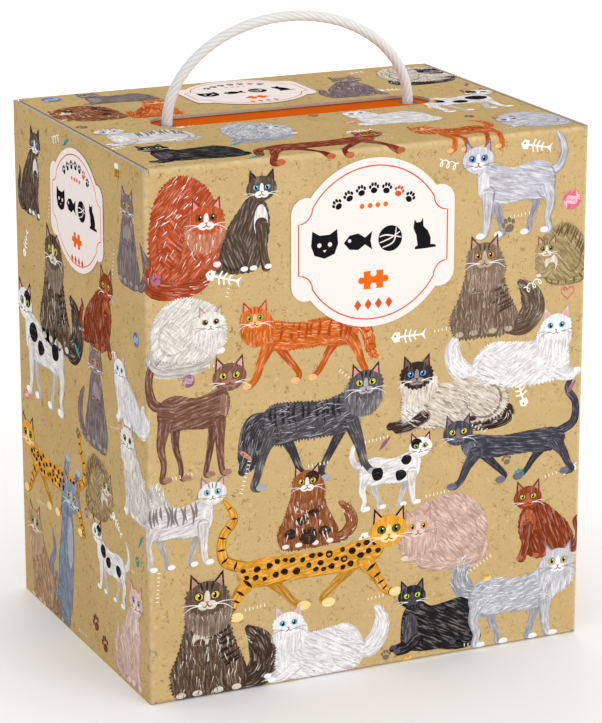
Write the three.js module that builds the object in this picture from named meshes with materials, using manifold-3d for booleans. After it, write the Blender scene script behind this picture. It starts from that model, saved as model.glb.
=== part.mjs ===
// A boxed jigsaw puzzle: a folded board carton with two interlocking lids, a rope
// handle knotted under the inner lid, and the bag of puzzle pieces that it holds.
// Units are millimetres, +Z is up, the front wall faces -Y and the origin is the
// middle of the base.
import * as THREE from 'three';
import { mergeVertices } from 'three/addons/utils/BufferGeometryUtils.js';
import Module from 'manifold-3d';

const wasm = await Module();
wasm.setup();

// Carton
const boxWidth = 195;
const boxDepth = 150;
const boxHeight = 220;
const board = 1.2;
const foldRadius = 2.2;
const clearance = 0.3;
const lidSideGap = 1.0;
const arcSteps = 8;

// Carrying slot, rope holes and rope
const slotLength = 126;
const slotWidth = 20;
const slotY = 3;
const ropeHoleX = 55;
const ropeHoleY = 5.5;
const ropeHoleRadius = 4;
const ropeDiameter = 4.4;
const archHeight = 40.5;
const archSteps = 18;
const ropeSides = 10;
const knotTop = 215.3;
const knotRadii = [6.4, 5.4, 4.8];
const tailLength = 6;

// Lids
const innerLidReach = 97;
const tabWidth = 96;
const tabDrop = 14;
const tabInset = 2.4;
const tabCorner = 8;
const tabNotchGap = 2;
const tabNotchDepth = 3.3;

// Flaps
const glueFlapWidth = 15;
const innerFlapReach = 128;

// Contents
const bagSize = [184, 140, 55];
const bagFilm = 0.8;
const bagCorner = 22;
const posterSize = [148, 210];
const posterThickness = 1.0;
const pieceSize = [19, 17];
const pieceThickness = 1.9;
const knobRadius = 2.6;
const knobOffset = 1.9;
const knobSteps = 5;
const pieceColumns = 6;
const pieceRows = 4;
const pieceSway = 0.15;
const heapSize = [178, 134];
const heapCorner = 18;
const heapTop = 52;
const piecePitch = [29.2, 31];

const halfWidth = boxWidth / 2;
const halfDepth = boxDepth / 2;
const lidHalfWidth = halfWidth - board - lidSideGap;
const hingeY = halfDepth - foldRadius;
const outerLidTop = boxHeight;
const innerLidTop = boxHeight - board - clearance;
const outerHingeZ = outerLidTop - foldRadius;
const innerHingeZ = innerLidTop - foldRadius;
const innerFlapLevel = board + clearance;
const floorTop = innerFlapLevel + board + clearance;

const kraft = new THREE.MeshStandardMaterial({ color: 0xc8ae7c, roughness: 0.55, metalness: 0 });
const orange = new THREE.MeshStandardMaterial({ color: 0xcb5a18, roughness: 0.5, metalness: 0 });
const rawBoard = new THREE.MeshStandardMaterial({ color: 0xb9ad9c, roughness: 0.85, metalness: 0 });
const cotton = new THREE.MeshStandardMaterial({ color: 0xe9e6e0, roughness: 0.8, metalness: 0 });
const film = new THREE.MeshStandardMaterial({ color: 0xdfe6e8, roughness: 0.2, metalness: 0 });
const paper = new THREE.MeshStandardMaterial({ color: 0xe9e2d2, roughness: 0.7, metalness: 0 });
const printed = new THREE.MeshStandardMaterial({ color: 0x9f7f5a, roughness: 0.6, metalness: 0 });

const alongX = new THREE.Matrix4().makeBasis(
  new THREE.Vector3(0, 1, 0), new THREE.Vector3(0, 0, 1), new THREE.Vector3(1, 0, 0));
const alongY = new THREE.Matrix4().makeBasis(
  new THREE.Vector3(1, 0, 0), new THREE.Vector3(0, 0, 1), new THREE.Vector3(0, -1, 0));

const box = new THREE.Group();

function addPiece(name, geometry, material) {
  const mesh = new THREE.Mesh(geometry, material);
  mesh.name = name;
  box.add(mesh);
  return mesh;
}

function toSolid(geometry) {
  const bare = geometry.clone();
  bare.deleteAttribute('normal');
  bare.deleteAttribute('uv');
  const merged = mergeVertices(bare);
  return new wasm.Manifold(new wasm.Mesh({
    numProp: 3,
    vertProperties: new Float32Array(merged.attributes.position.array),
    triVerts: new Uint32Array(merged.index.array),
  }));
}

function toGeometry(solid) {
  const mesh = solid.getMesh();
  const geometry = new THREE.BufferGeometry();
  geometry.setAttribute('position', new THREE.BufferAttribute(mesh.vertProperties, 3));
  geometry.setIndex(new THREE.BufferAttribute(mesh.triVerts, 1));
  return geometry;
}

function extrude(shape, length) {
  return new THREE.ExtrudeGeometry(shape, {
    depth: length, bevelEnabled: false, steps: 1, curveSegments: arcSteps });
}

// A section in the Y-Z plane, drawn out along X and centred on x = middle.
function drawAlongX(shape, length, middle = 0) {
  return extrude(shape, length).applyMatrix4(alongX).translate(middle - length / 2, 0, 0);
}

// An outline in the X-Z plane, given thickness from y = nearY to nearY + thickness.
function drawAlongY(shape, nearY, thickness) {
  return extrude(shape, thickness).applyMatrix4(alongY).translate(0, nearY + thickness, 0);
}

function slab(low, high) {
  const size = high.map((value, i) => value - low[i]);
  return new THREE.BoxGeometry(...size).translate(...low.map((value, i) => value + size[i] / 2));
}

function rodAlongX(radius, length, y, z, middle = 0) {
  return new THREE.CylinderGeometry(radius, radius, length, 4 * arcSteps)
    .rotateZ(Math.PI / 2).translate(middle, y, z);
}

function rodAlongZ(radius, lowZ, highZ, x, y, sides) {
  return new THREE.CylinderGeometry(radius, radius, highZ - lowZ, sides)
    .rotateX(Math.PI / 2).translate(x, y, (lowZ + highZ) / 2);
}

function roundedRectangle(width, height, radius) {
  const x = width / 2 - radius;
  const y = height / 2 - radius;
  return new THREE.Shape()
    .absarc(x, y, radius, 0, Math.PI / 2)
    .absarc(-x, y, radius, Math.PI / 2, Math.PI)
    .absarc(-x, -y, radius, Math.PI, Math.PI * 1.5)
    .absarc(x, -y, radius, Math.PI * 1.5, Math.PI * 2);
}

// A front or back wall, folded in at its foot. side is -1 in front and 1 behind.
function endWall(side, footZ, topZ) {
  const bend = foldRadius - board;
  const centre = footZ + foldRadius;
  const inner = side * (halfDepth - board);
  const shape = new THREE.Shape();
  shape.moveTo(inner, topZ);
  shape.lineTo(side * halfDepth, topZ);
  if (side < 0) {
    shape.absarc(-hingeY, centre, foldRadius, Math.PI, Math.PI * 1.5, false);
    shape.lineTo(-hingeY, footZ + board);
    shape.absarc(-hingeY, centre, bend, Math.PI * 1.5, Math.PI, true);
  } else {
    shape.absarc(hingeY, centre, foldRadius, 0, -Math.PI / 2, true);
    shape.lineTo(hingeY, footZ + board);
    shape.absarc(hingeY, centre, bend, -Math.PI / 2, 0, false);
  }
  return drawAlongX(shape, 2 * (halfWidth - foldRadius - clearance));
}

// A side wall carries both upright folds, and its cut ends have small round corners.
function sideWall(side) {
  const bend = foldRadius - board;
  const x = halfWidth - foldRadius;
  const shape = new THREE.Shape();
  shape.moveTo(x, -halfDepth);
  shape.absarc(x, -hingeY, foldRadius, -Math.PI / 2, 0, false);
  shape.absarc(x, hingeY, foldRadius, 0, Math.PI / 2, false);
  shape.lineTo(x, halfDepth - board);
  shape.absarc(x, hingeY, bend, Math.PI / 2, 0, true);
  shape.absarc(x, -hingeY, bend, 0, -Math.PI / 2, true);
  const upright = toSolid(extrude(shape, boxHeight));
  const outline = toSolid(
    drawAlongX(roundedRectangle(boxDepth, boxHeight, foldRadius), boxWidth + 2)
      .translate(0, 0, boxHeight / 2));
  const wall = upright.intersect(outline);
  return toGeometry(side > 0 ? wall : wall.mirror([1, 0, 0]));
}

function bottomOuterFlap() {
  return slab([-lidHalfWidth, -hingeY + clearance, 0], [lidHalfWidth, halfDepth - clearance, board]);
}

function bottomInnerFlap() {
  const rear = hingeY - clearance;
  return slab(
    [-lidHalfWidth, rear - innerFlapReach, innerFlapLevel],
    [lidHalfWidth, rear, innerFlapLevel + board]);
}

// The board's glued joint, inside the left wall at its back edge.
function glueFlap() {
  const x = -halfWidth + board + clearance;
  const rear = halfDepth - foldRadius;
  return slab(
    [x, rear - glueFlapWidth, floorTop],
    [x + board, rear, innerHingeZ - foldRadius - 2 * clearance]);
}

// The outer lid: a plate with the carrying slot, its front hinge fold, a rounded
// back edge, and the tuck fold along the middle of that edge.
function outerLid() {
  const low = outerLidTop - board;
  const rear = halfDepth - clearance;
  const section = new THREE.Shape();
  section.moveTo(-hingeY, low);
  section.lineTo(rear, low);
  section.absarc(rear - board, low, board, 0, Math.PI / 2, false);
  section.lineTo(-hingeY, outerLidTop);
  const slot = roundedRectangle(slotLength, slotWidth, slotWidth / 2 - 0.01);
  return toGeometry(
    toSolid(drawAlongX(section, 2 * lidHalfWidth))
      .add(toSolid(rodAlongX(foldRadius, 2 * lidHalfWidth, -hingeY, outerHingeZ)))
      .add(toSolid(rodAlongX(foldRadius, tabWidth, hingeY, outerHingeZ)))
      .subtract(toSolid(extrude(slot, 4 * board).translate(0, slotY, low - board))));
}

// The tuck tab hangs from the outer lid's back fold, just inside the back wall.
function tuckTab() {
  const half = tabWidth / 2;
  const top = outerHingeZ - foldRadius - clearance;
  const bottom = outerHingeZ - tabDrop;
  const outline = new THREE.Shape();
  outline.moveTo(half, top);
  outline.lineTo(-half, top);
  outline.absarc(-half + tabCorner, bottom + tabCorner, tabCorner, Math.PI, Math.PI * 1.5, false);
  outline.absarc(half - tabCorner, bottom + tabCorner, tabCorner, Math.PI * 1.5, Math.PI * 2, false);
  return drawAlongY(outline, halfDepth - tabInset - board, board);
}

// The inner lid: a plate hinged on the back wall, notched for the tuck tab, with
// the two rope holes.
function innerLid() {
  const low = innerLidTop - board;
  const hingeRod = toSolid(rodAlongX(foldRadius, 2 * lidHalfWidth, hingeY, innerHingeZ));
  const notchHalf = tabWidth / 2 + tabNotchGap;
  let lid = toSolid(slab([-lidHalfWidth, hingeY - innerLidReach, low], [lidHalfWidth, hingeY, innerLidTop]))
    .add(hingeRod)
    .subtract(toSolid(slab(
      [-notchHalf, hingeY - tabNotchDepth, low - 2 * foldRadius],
      [notchHalf, halfDepth + board, boxHeight])));
  for (const x of [-ropeHoleX, ropeHoleX]) {
    lid = lid.subtract(toSolid(
      rodAlongZ(ropeHoleRadius, low - board, innerLidTop + board, x, ropeHoleY, 2 * ropeSides)));
  }
  return toGeometry(lid);
}

// The rope's free stretch: half an ellipse standing on the inner lid.
class RopeArch extends THREE.Curve {
  getPoint(t, target = new THREE.Vector3()) {
    const angle = Math.PI * t;
    return target.set(
      -ropeHoleX * Math.cos(angle),
      ropeHoleY,
      innerLidTop + clearance + archHeight * Math.sin(angle));
  }
}

function ropeArch() {
  const section = new THREE.Shape();
  for (let i = 0; i < ropeSides; i += 1) {
    const angle = (2 * Math.PI * i) / ropeSides;
    const x = ropeDiameter / 2 * Math.cos(angle);
    const y = ropeDiameter / 2 * Math.sin(angle);
    if (i === 0) section.moveTo(x, y);
    else section.lineTo(x, y);
  }
  return new THREE.ExtrudeGeometry(section, {
    steps: archSteps, bevelEnabled: false, extrudePath: new RopeArch() });
}

// One end of the rope, through its hole, with the knot that holds it and a short tail.
function ropeKnot(x) {
  const [rx, ry, rz] = knotRadii;
  const knotZ = knotTop - rz;
  const knot = new THREE.SphereGeometry(1, 14, 9).scale(rx, ry, rz).translate(x, ropeHoleY, knotZ);
  const low = knotZ - rz - tailLength;
  const rope = rodAlongZ(ropeDiameter / 2, low, innerLidTop, x, ropeHoleY, ropeSides);
  return toGeometry(toSolid(knot).add(toSolid(rope)));
}

// The bag of pieces, open at its gathered top.
function puzzleBag() {
  const [width, depth, height] = bagSize;
  const outer = extrude(roundedRectangle(width, depth, bagCorner), height);
  const inner = extrude(
    roundedRectangle(width - 2 * bagFilm, depth - 2 * bagFilm, bagCorner - bagFilm), height);
  return toGeometry(
    toSolid(outer).subtract(toSolid(inner.translate(0, 0, bagFilm)))).translate(0, 0, floorTop);
}

// The rest of the loose pieces, as one lump that fills the bag over the first layer.
function pieceHeap() {
  const low = floorTop + bagFilm + 2 * clearance + pieceThickness;
  return extrude(roundedRectangle(...heapSize, heapCorner), heapTop - low).translate(0, 0, low);
}

// The folded picture sheet, standing against the front wall.
function poster() {
  const [width, height] = posterSize;
  const sheet = roundedRectangle(width, height, 1);
  return drawAlongY(sheet, -halfDepth + board + clearance, posterThickness)
    .translate(0, 0, floorTop + height / 2);
}

// One edge of a puzzle piece along +X: knob is 1 for a knob, -1 for a socket, 0 for
// the straight edge of the picture.
function pieceEdge(length, knob) {
  const points = [[0, 0]];
  if (knob !== 0) {
    const start = Math.asin(knobOffset / knobRadius);
    const sweep = Math.PI + 2 * start;
    for (let i = 0; i <= knobSteps; i += 1) {
      const angle = Math.PI - start + (sweep * i) / knobSteps;
      points.push([
        length / 2 + knobRadius * Math.cos(angle),
        knob * (-knobOffset + knobRadius * Math.sin(angle))]);
    }
  }
  return points;
}

function puzzlePiece(knobs) {
  const [width, height] = pieceSize;
  const corners = [[-width / 2, -height / 2], [width / 2, -height / 2],
    [width / 2, height / 2], [-width / 2, height / 2]];
  const lengths = [width, height, width, height];
  const points = [];
  corners.forEach(([x, y], side) => {
    const turn = (side * Math.PI) / 2;
    for (const [px, py] of pieceEdge(lengths[side], knobs[side])) {
      points.push(new THREE.Vector2(
        x + px * Math.cos(turn) - py * Math.sin(turn),
        y + px * Math.sin(turn) + py * Math.cos(turn)));
    }
  });
  return extrude(new THREE.Shape(points), pieceThickness);
}

function addPuzzlePieces() {
  const knobSets = [[1, -1, 1, -1], [1, 1, -1, -1], [-1, 1, 1, -1], [0, 1, -1, 1], [1, -1, -1, 0]];
  const layer = floorTop + bagFilm + clearance;
  for (let row = 0; row < pieceRows; row += 1) {
    for (let column = 0; column < pieceColumns; column += 1) {
      const index = row * pieceColumns + column;
      const number = String(index + 1).padStart(2, '0');
      const piece = addPiece(
        `puzzle_piece_${number}`, puzzlePiece(knobSets[index % knobSets.length]), printed);
      piece.position.set(
        (column - (pieceColumns - 1) / 2) * piecePitch[0],
        (row - (pieceRows - 1) / 2) * piecePitch[1],
        layer);
      piece.rotation.z = index * (Math.PI / 2) + pieceSway * Math.sin(3 * index);
    }
  }
}

const wallTop = innerHingeZ - foldRadius - clearance;
addPiece('front_wall', endWall(-1, 0, outerHingeZ - foldRadius - clearance), kraft);
addPiece('back_wall', endWall(1, innerFlapLevel, wallTop), kraft);
addPiece('left_wall', sideWall(-1), kraft);
addPiece('right_wall', sideWall(1), kraft);
addPiece('glue_flap', glueFlap(), rawBoard);
addPiece('bottom_outer_flap', bottomOuterFlap(), kraft);
addPiece('bottom_inner_flap', bottomInnerFlap(), rawBoard);
addPiece('outer_lid', outerLid(), kraft);
addPiece('tuck_tab', tuckTab(), kraft);
addPiece('inner_lid', innerLid(), orange);
addPiece('rope_arch', ropeArch(), cotton);
addPiece('rope_knot_left', ropeKnot(-ropeHoleX), cotton);
addPiece('rope_knot_right', ropeKnot(ropeHoleX), cotton);
addPiece('puzzle_bag', puzzleBag(), film);
addPiece('piece_heap', pieceHeap(), printed);
addPiece('picture_sheet', poster(), paper);
addPuzzlePieces();

export default box;
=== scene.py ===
import itertools
import math
import random

import bmesh
import bpy
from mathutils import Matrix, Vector, noise
from mathutils.geometry import tessellate_polygon


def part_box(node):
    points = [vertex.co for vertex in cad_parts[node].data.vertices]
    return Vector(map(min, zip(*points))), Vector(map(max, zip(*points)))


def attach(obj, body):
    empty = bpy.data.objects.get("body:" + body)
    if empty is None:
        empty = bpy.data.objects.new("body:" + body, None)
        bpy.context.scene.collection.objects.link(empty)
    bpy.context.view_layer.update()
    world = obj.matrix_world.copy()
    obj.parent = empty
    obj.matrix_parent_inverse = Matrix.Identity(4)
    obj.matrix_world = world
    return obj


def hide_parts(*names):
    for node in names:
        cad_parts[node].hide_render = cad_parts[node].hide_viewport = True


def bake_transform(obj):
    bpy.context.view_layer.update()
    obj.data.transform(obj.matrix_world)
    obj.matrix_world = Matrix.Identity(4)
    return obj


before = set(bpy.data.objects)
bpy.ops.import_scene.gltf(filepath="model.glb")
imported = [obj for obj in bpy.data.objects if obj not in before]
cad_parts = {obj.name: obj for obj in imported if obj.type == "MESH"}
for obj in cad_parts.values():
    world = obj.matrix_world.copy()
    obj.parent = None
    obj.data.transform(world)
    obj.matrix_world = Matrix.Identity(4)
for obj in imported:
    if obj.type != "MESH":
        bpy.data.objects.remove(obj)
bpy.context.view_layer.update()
mm = 0.001


def inMillimetres(node):
    low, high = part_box(node)
    return low / mm, high / mm


lidHigh = inMillimetres("outer_lid")[1]
frontHigh = inMillimetres("front_wall")[1]
innerLow, innerHigh = inMillimetres("inner_lid")
sideLow, sideHigh = inMillimetres("left_wall")
backLow, backHigh = inMillimetres("back_wall")
tabLow, tabHigh = inMillimetres("tuck_tab")

# the carton, all in millimetres; the big sizes come from the imported frame
# rubbedAndHighlitReach: how far from a fold its rubbed wear and painted highlight reach
carton = {"board": 1.2, "fold": 2.2, "foldSteps": 8, "rearRound": 1.45, "rearSteps": 5, "easeIn": 0.5,
          "rubbedAndHighlitReach": 1.9, "printMargin": 0.6}
halfWidth, halfDepth, topLevel = -sideLow.x, -sideLow.y, lidHigh.z
fold, board = carton["fold"], carton["board"]
flatHalf = halfWidth - fold            # half of the front panel between its folds
foldRun = math.pi / 2 * fold           # length of print round one fold
sideStart = flatHalf + foldRun
sideEnd = sideStart + 2 * (halfDepth - fold)
backStart = sideEnd + foldRun
lidFold = topLevel - fold              # height of the lid's hinge line
lidStart = lidFold + foldRun           # where the flat of the lid begins on the unrolled print
lidFlatEnd = lidStart + (lidHigh.y - carton["rearRound"]) + (halfDepth - fold)
lidEnd = lidFlatEnd + math.pi / 2 * carton["rearRound"]


view = {"eye": (-0.5200, -1.1386, 0.4799), "target": (0.0028, 0.0, 0.1118), "lens": 152.96}
lens = bpy.data.cameras.new("camera")
lens.lens, lens.sensor_width = view["lens"], 36
lens.clip_start, lens.clip_end = 0.01, 50
camera = bpy.data.objects.new("camera", lens)
camera.location = view["eye"]
camera.rotation_mode = "QUATERNION"
camera.rotation_quaternion = (Vector(view["target"]) - camera.location).to_track_quat("-Z", "Y")
bpy.context.scene.collection.objects.link(camera)
bpy.context.scene.camera = camera
print("camera ready")


def linear(colour):
    # 0-255 screen colour to the linear values that the shaders use
    channels = [c / 255 for c in colour]
    return tuple(c / 12.92 if c <= 0.04045 else ((c + 0.055) / 1.055) ** 2.4 for c in channels) + (1.0,)


def tones(look):
    return {name: linear(colour) for name, colour in look.items()}


class Signal:
    # a socket that can be used in sums; arithmetic on it adds Math nodes
    def __init__(self, tree, socket=None):
        self.tree, self.socket = tree, socket

    def node(self, kind, settings=None, inputs=None, output=0):
        made = self.tree.nodes.new(kind)
        for name, value in (settings or {}).items():
            if name == "stops":
                ramp = made.color_ramp
                while len(ramp.elements) < len(value):
                    ramp.elements.new(0.5)
                for element, (place, colour) in zip(ramp.elements, value):
                    element.position, element.color = place, colour
            else:
                setattr(made, name, value)
        for key, value in (inputs or {}).items():
            if isinstance(value, Signal):
                self.tree.links.new(value.socket, made.inputs[key])
            else:
                made.inputs[key].default_value = value
        return Signal(self.tree, made.outputs[output])

    def maths(self, operation, a, b=0.0):
        return self.node("ShaderNodeMath", {"operation": operation}, {0: a, 1: b})

    def __add__(self, other):
        return self.maths("ADD", self, other)

    def __sub__(self, other):
        return self.maths("SUBTRACT", self, other)

    def __rsub__(self, other):
        return self.maths("SUBTRACT", other, self)

    def __mul__(self, other):
        return self.maths("MULTIPLY", self, other)

    __radd__, __rmul__ = __add__, __mul__

    def above(self, start, end):
        # 0 below start, 1 above end, straight between
        return self.node("ShaderNodeMapRange", {"clamp": True},
                         {"Value": self, "From Min": start, "From Max": end})

    def mix(self, factor, a, b, kind="MIX"):
        settings = {"data_type": "RGBA", "blend_type": kind, "clamp_factor": True}
        return self.node("ShaderNodeMix", settings, {0: factor, 6: a, 7: b}, 2)

    def attribute(self, name, output="Fac"):
        return self.node("ShaderNodeAttribute", {"attribute_name": name}, None, output)

    def place(self):
        return self.node("ShaderNodeTexCoord", None, None, "Object")

    def stretched(self, scale):
        return self.node("ShaderNodeVectorMath", {"operation": "MULTIPLY"},
                         {0: self, 1: scale})

    def grain(self, size, detail=3.0, roughness=0.55, distortion=0.0):
        # noise whose patches are about size metres across
        return self.node("ShaderNodeTexNoise", None,
                         {"Vector": self, "Scale": 1 / size, "Detail": detail,
                          "Roughness": roughness, "Distortion": distortion})


def newFinish(name, constants):
    material = bpy.data.materials.new(name)
    material.use_nodes = True
    shader = material.node_tree.nodes["Principled BSDF"]
    for key, value in constants.items():
        shader.inputs[key].default_value = value
    return material, Signal(material.node_tree), shader


def feed(shader, socket, signal):
    signal.tree.links.new(signal.socket, shader.inputs[socket])


def complete(shader, colour, roughness, height, strength, distance):
    # what every finish ends with: its colour, its roughness and a bump
    feed(shader, "Base Color", colour)
    feed(shader, "Roughness", roughness)
    feed(shader, "Normal", height.node("ShaderNodeBump", None,
                                       {"Strength": strength, "Distance": distance, "Height": height}))


# rubbed: the lighter colour on the folds, part rubbed wear and part painted highlight
kraft = {"base": (193, 166, 116), "cloud": (186, 157, 107), "mottle": (178, 150, 100), "fibre": (124, 98, 62),
         "pale": (212, 190, 146), "rubbedAndHighlit": (216, 192, 148)}


def kraftFinish():
    # brown paper print: soft clouding, dark fibres, curled hairs, pale flecks, and folds made lighter by
    # rubbed wear and a painted highlight
    material, start, shader = newFinish("printedKraft", {"Specular IOR Level": 0.0})
    place, tone = start.place(), tones(kraft)
    longFibre = place.stretched((1.0, 1.0, 0.35)).grain(0.0016, 5.0, 0.6, 1.2)
    crossFibre = place.stretched((0.35, 0.35, 1.0)).grain(0.0014, 5.0, 0.6, 1.2)
    colour = start.mix(place.grain(0.018, 4.0).above(0.35, 0.7), tone["base"], tone["cloud"])
    colour = start.mix(place.grain(0.0010, 3.0, 0.6).above(0.40, 0.64) * 0.55, colour, tone["mottle"])
    for wave, patch, amount in ((0.0046, 0.0033, 0.75), (0.0032, 0.0024, 0.55)):
        curl = start.maths("ABSOLUTE", place.grain(wave, 2.0, 0.5, 0.9) - 0.5).above(0.024, 0.010)
        short = place.grain(patch, 1.0).above(0.585, 0.63)
        colour = start.mix(curl * short * amount, colour, tone["fibre"])
    colour = start.mix(longFibre.above(0.63, 0.71) * 0.55, colour, tone["fibre"])
    colour = start.mix(crossFibre.above(0.64, 0.72) * 0.45, colour, tone["fibre"])
    colour = start.mix(place.grain(0.0019, 2.0, 0.5, 0.4).above(0.66, 0.76) * 0.5, colour, tone["pale"])
    # painted highlight with rubbed wear: the folds are lightened, broken up by noise
    rubbedAndHighlit = start.attribute("rub") * place.grain(0.003, 3.0).above(0.2, 0.75)
    colour = start.mix(rubbedAndHighlit, colour, tone["rubbedAndHighlit"])
    complete(shader, colour, longFibre * 0.2 + 0.42, longFibre + crossFibre, 0.25, 0.00006)
    return material


boardEdge = {"dark": (146, 136, 126), "light": (186, 178, 170)}


def boardEdgeFinish():
    # the cut edge of solid board: grey-brown plies in fine layers
    material, start, shader = newFinish("cutBoardEdge", {"Specular IOR Level": 0.05})
    plies = start.place().stretched((0.25, 0.25, 1.0)).grain(0.0006, 4.0, 0.7)
    tone = tones(boardEdge)
    complete(shader, start.mix(plies, tone["dark"], tone["light"]), plies * 0.2 + 0.7, plies, 0.5, 0.0001)
    return material


lining = {"dark": (176, 160, 138), "light": (206, 192, 170), "speck": (112, 98, 82)}


def linerFinish():
    # unprinted inside of the board: grey recycled pulp with specks
    material, start, shader = newFinish("greyLiner", {"Specular IOR Level": 0.05})
    place, tone = start.place(), tones(lining)
    pulp = place.grain(0.0022, 6.0, 0.65, 0.6)
    specks = place.grain(0.0011, 2.0).above(0.68, 0.74)
    colour = start.mix(specks * 0.7, start.mix(pulp, tone["dark"], tone["light"]), tone["speck"])
    complete(shader, colour, pulp * 0.2 + 0.72, pulp, 0.35, 0.00008)
    return material


orange = {"base": (209, 93, 18), "cloud": (199, 85, 15), "fibre": (216, 114, 42)}


def orangeFinish():
    # flat orange print on the inner lid, with the fibres just showing through
    material, start, shader = newFinish("orangePrint", {"Specular IOR Level": 0.0})
    place, tone = start.place(), tones(orange)
    cloud = place.grain(0.012, 4.0)
    fibre = place.stretched((1.0, 0.3, 1.0)).grain(0.0014, 5.0, 0.6, 1.0).above(0.62, 0.72)
    colour = start.mix(fibre * 0.3, start.mix(cloud, tone["base"], tone["cloud"]), tone["fibre"])
    complete(shader, colour, cloud * 0.15 + 0.42, fibre, 0.2, 0.00005)
    return material


furShade = {"dark": (0.30, 0.26, 0.25, 1.0), "light": (0.80, 0.76, 0.70, 1.0), "wash": (0.6, 0.55, 0.55, 1.0)}


def inkFinish():
    # printed drawings: each shape keeps its own colour, and fur runs along the shape
    material, start, shader = newFinish("printedInk", {"Specular IOR Level": 0.0})
    place = start.place()
    amount = start.attribute("furAmount")
    hair = start.attribute("furRun", "Vector").grain(1.0, 4.0, 0.62, 0.3)
    wash = place.grain(0.0045, 4.0, 0.6)
    colour = start.attribute("ink", "Color")
    colour = start.mix(hair.above(0.6, 0.36) * amount * 0.62, colour, furShade["dark"], "MULTIPLY")
    colour = start.mix(hair.above(0.52, 0.72) * amount * 0.34, colour, furShade["light"], "SCREEN")
    colour = start.mix(wash.above(0.62, 0.35) * amount * 0.4, colour, furShade["wash"], "MULTIPLY")
    fibre = place.grain(0.0014, 5.0, 0.6, 1.2)
    complete(shader, colour, fibre * 0.2 + 0.4, fibre, 0.2, 0.00005)
    return material


# groove: the painted shade colour laid into the grooves between the yarns
ropeYarn = {"light": (238, 238, 237), "dark": (206, 205, 203), "groove": (168, 167, 165)}


def ropeFinish():
    # off-white yarns, with painted shade in the grooves between them
    material, start, shader = newFinish("twistedRope", {"Specular IOR Level": 0.25, "Sheen Weight": 0.3})
    yarn, tone = start.attribute("lay", "Vector").grain(1.0, 4.0, 0.6, 0.2), tones(ropeYarn)
    colour = start.mix(yarn, tone["light"], tone["dark"])
    # painted shade: darker where the yarns meet in a groove
    colour = start.mix(start.attribute("groove") * 0.6, colour, tone["groove"])
    complete(shader, colour, yarn * 0.2 + 0.65, yarn, 0.6, 0.0003)
    return material


def filmFinish():
    material, start, shader = newFinish("clearFilm", {"Base Color": (0.86, 0.9, 0.92, 1.0), "Alpha": 0.2,
                                                      "Specular IOR Level": 0.7})
    creases = start.place().grain(0.011, 5.0, 0.6, 1.5)
    feed(shader, "Roughness", creases * 0.15 + 0.06)
    feed(shader, "Normal", creases.node("ShaderNodeBump", None,
                                        {"Strength": 0.7, "Distance": 0.0012, "Height": creases}))
    return material


pictureInks = {"sand": (206, 178, 127), "orange": (224, 118, 48), "white": (240, 236, 228),
               "grey": (90, 84, 88),
               "wash": (120, 92, 66)}


def patches(start, pattern, stops):
    # a soft many-coloured picture: one ink after another along a pattern
    inks = tones(pictureInks)
    stops = [(place, inks[name]) for place, name in stops]
    return start.node("ShaderNodeValToRGB", {"stops": stops}, {"Fac": pattern})


def puzzleFinish(name, ownColours):
    # glossy printed face of a jigsaw piece
    material, start, shader = newFinish(name, {"Coat Weight": 0.3, "Coat Roughness": 0.2})
    place = start.place()
    wash = place.grain(0.006, 4.0, 0.6)
    if ownColours:
        colour = start.attribute("ink", "Color")
    else:
        stops = ((0.35, "sand"), (0.46, "orange"), (0.56, "white"), (0.66, "grey"))
        colour = patches(start, place.grain(0.02, 2.0), stops)
    colour = start.mix(wash.above(0.4, 0.65) * 0.5, colour, linear(pictureInks["wash"]))
    complete(shader, colour, wash * 0.2 + 0.3, place.grain(0.0008), 0.15, 0.00004)
    return material


def paperFinish():
    # the folded picture sheet: coated paper
    material, start, shader = newFinish("picturePaper", {"Specular IOR Level": 0.5})
    place = start.place()
    stops = ((0.32, "sand"), (0.42, "orange"), (0.5, "sand"), (0.58, "grey"), (0.66, "white"))
    colour = patches(start, place.grain(0.021, 2.0, 0.5, 0.6), stops)
    complete(shader, colour, place.grain(0.003) * 0.15 + 0.25, place.grain(0.02), 0.1, 0.0004)
    return material


printedKraft = kraftFinish()
cutEdge = boardEdgeFinish()
liner = linerFinish()
orangePrint = orangeFinish()
printedInk = inkFinish()
twistedRope = ropeFinish()
clearFilm = filmFinish()
puzzleFace = puzzleFinish("puzzleFace", True)
picturePaper = paperFinish()
print("finishes ready")


def newPiece(name, mesh, finishes, body, sharp=35, blendOver=None):
    # mesh in metres, finishes in the order of the faces' material numbers
    for finish in finishes:
        mesh.materials.append(finish)
    mesh.polygons.foreach_set("use_smooth", [True] * len(mesh.polygons))
    mesh.set_sharp_from_angle(angle=math.radians(sharp))
    piece = bpy.data.objects.new(name, mesh)
    bpy.context.scene.collection.objects.link(piece)
    if blendOver:
        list(blendOver)
        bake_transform(piece)
    else:
        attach(piece, body)
    return piece


def cutAcross(mesh, axis, value, keep=0):
    # cuts every face at one line; keep 1 or -1 drops what lies below or above it
    normal = (1, 0, 0) if axis == "u" else (0, 1, 0)
    if keep < 0:
        normal = tuple(-n for n in normal)
    bmesh.ops.bisect_plane(mesh, geom=mesh.verts[:] + mesh.edges[:] + mesh.faces[:], dist=1e-6,
                           plane_co=tuple(abs(n) * value for n in normal), plane_no=normal,
                           clear_inner=keep != 0)


def foldLines(start, end, steps):
    ease = carton["easeIn"]
    inside = [start + (end - start) * i / steps for i in range(steps + 1)]
    return [start - ease, *inside, end + ease]


def flatOutline(outlines, cuts):
    # triangles of a flat outline with holes, cut at the fold lines
    loops = [[Vector((u, v, 0)) for u, v in loop] for loop in outlines]
    mesh = bmesh.new()
    corners = [mesh.verts.new(p) for loop in loops for p in loop]
    for triangle in tessellate_polygon(loops):
        a, b, c = (corners[i] for i in triangle)
        face = mesh.faces.new((a, b, c))
        face.normal_update()
        if face.normal.z < 0:
            face.normal_flip()
    for axis, value in cuts:
        cutAcross(mesh, axis, value)
    return mesh


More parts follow.
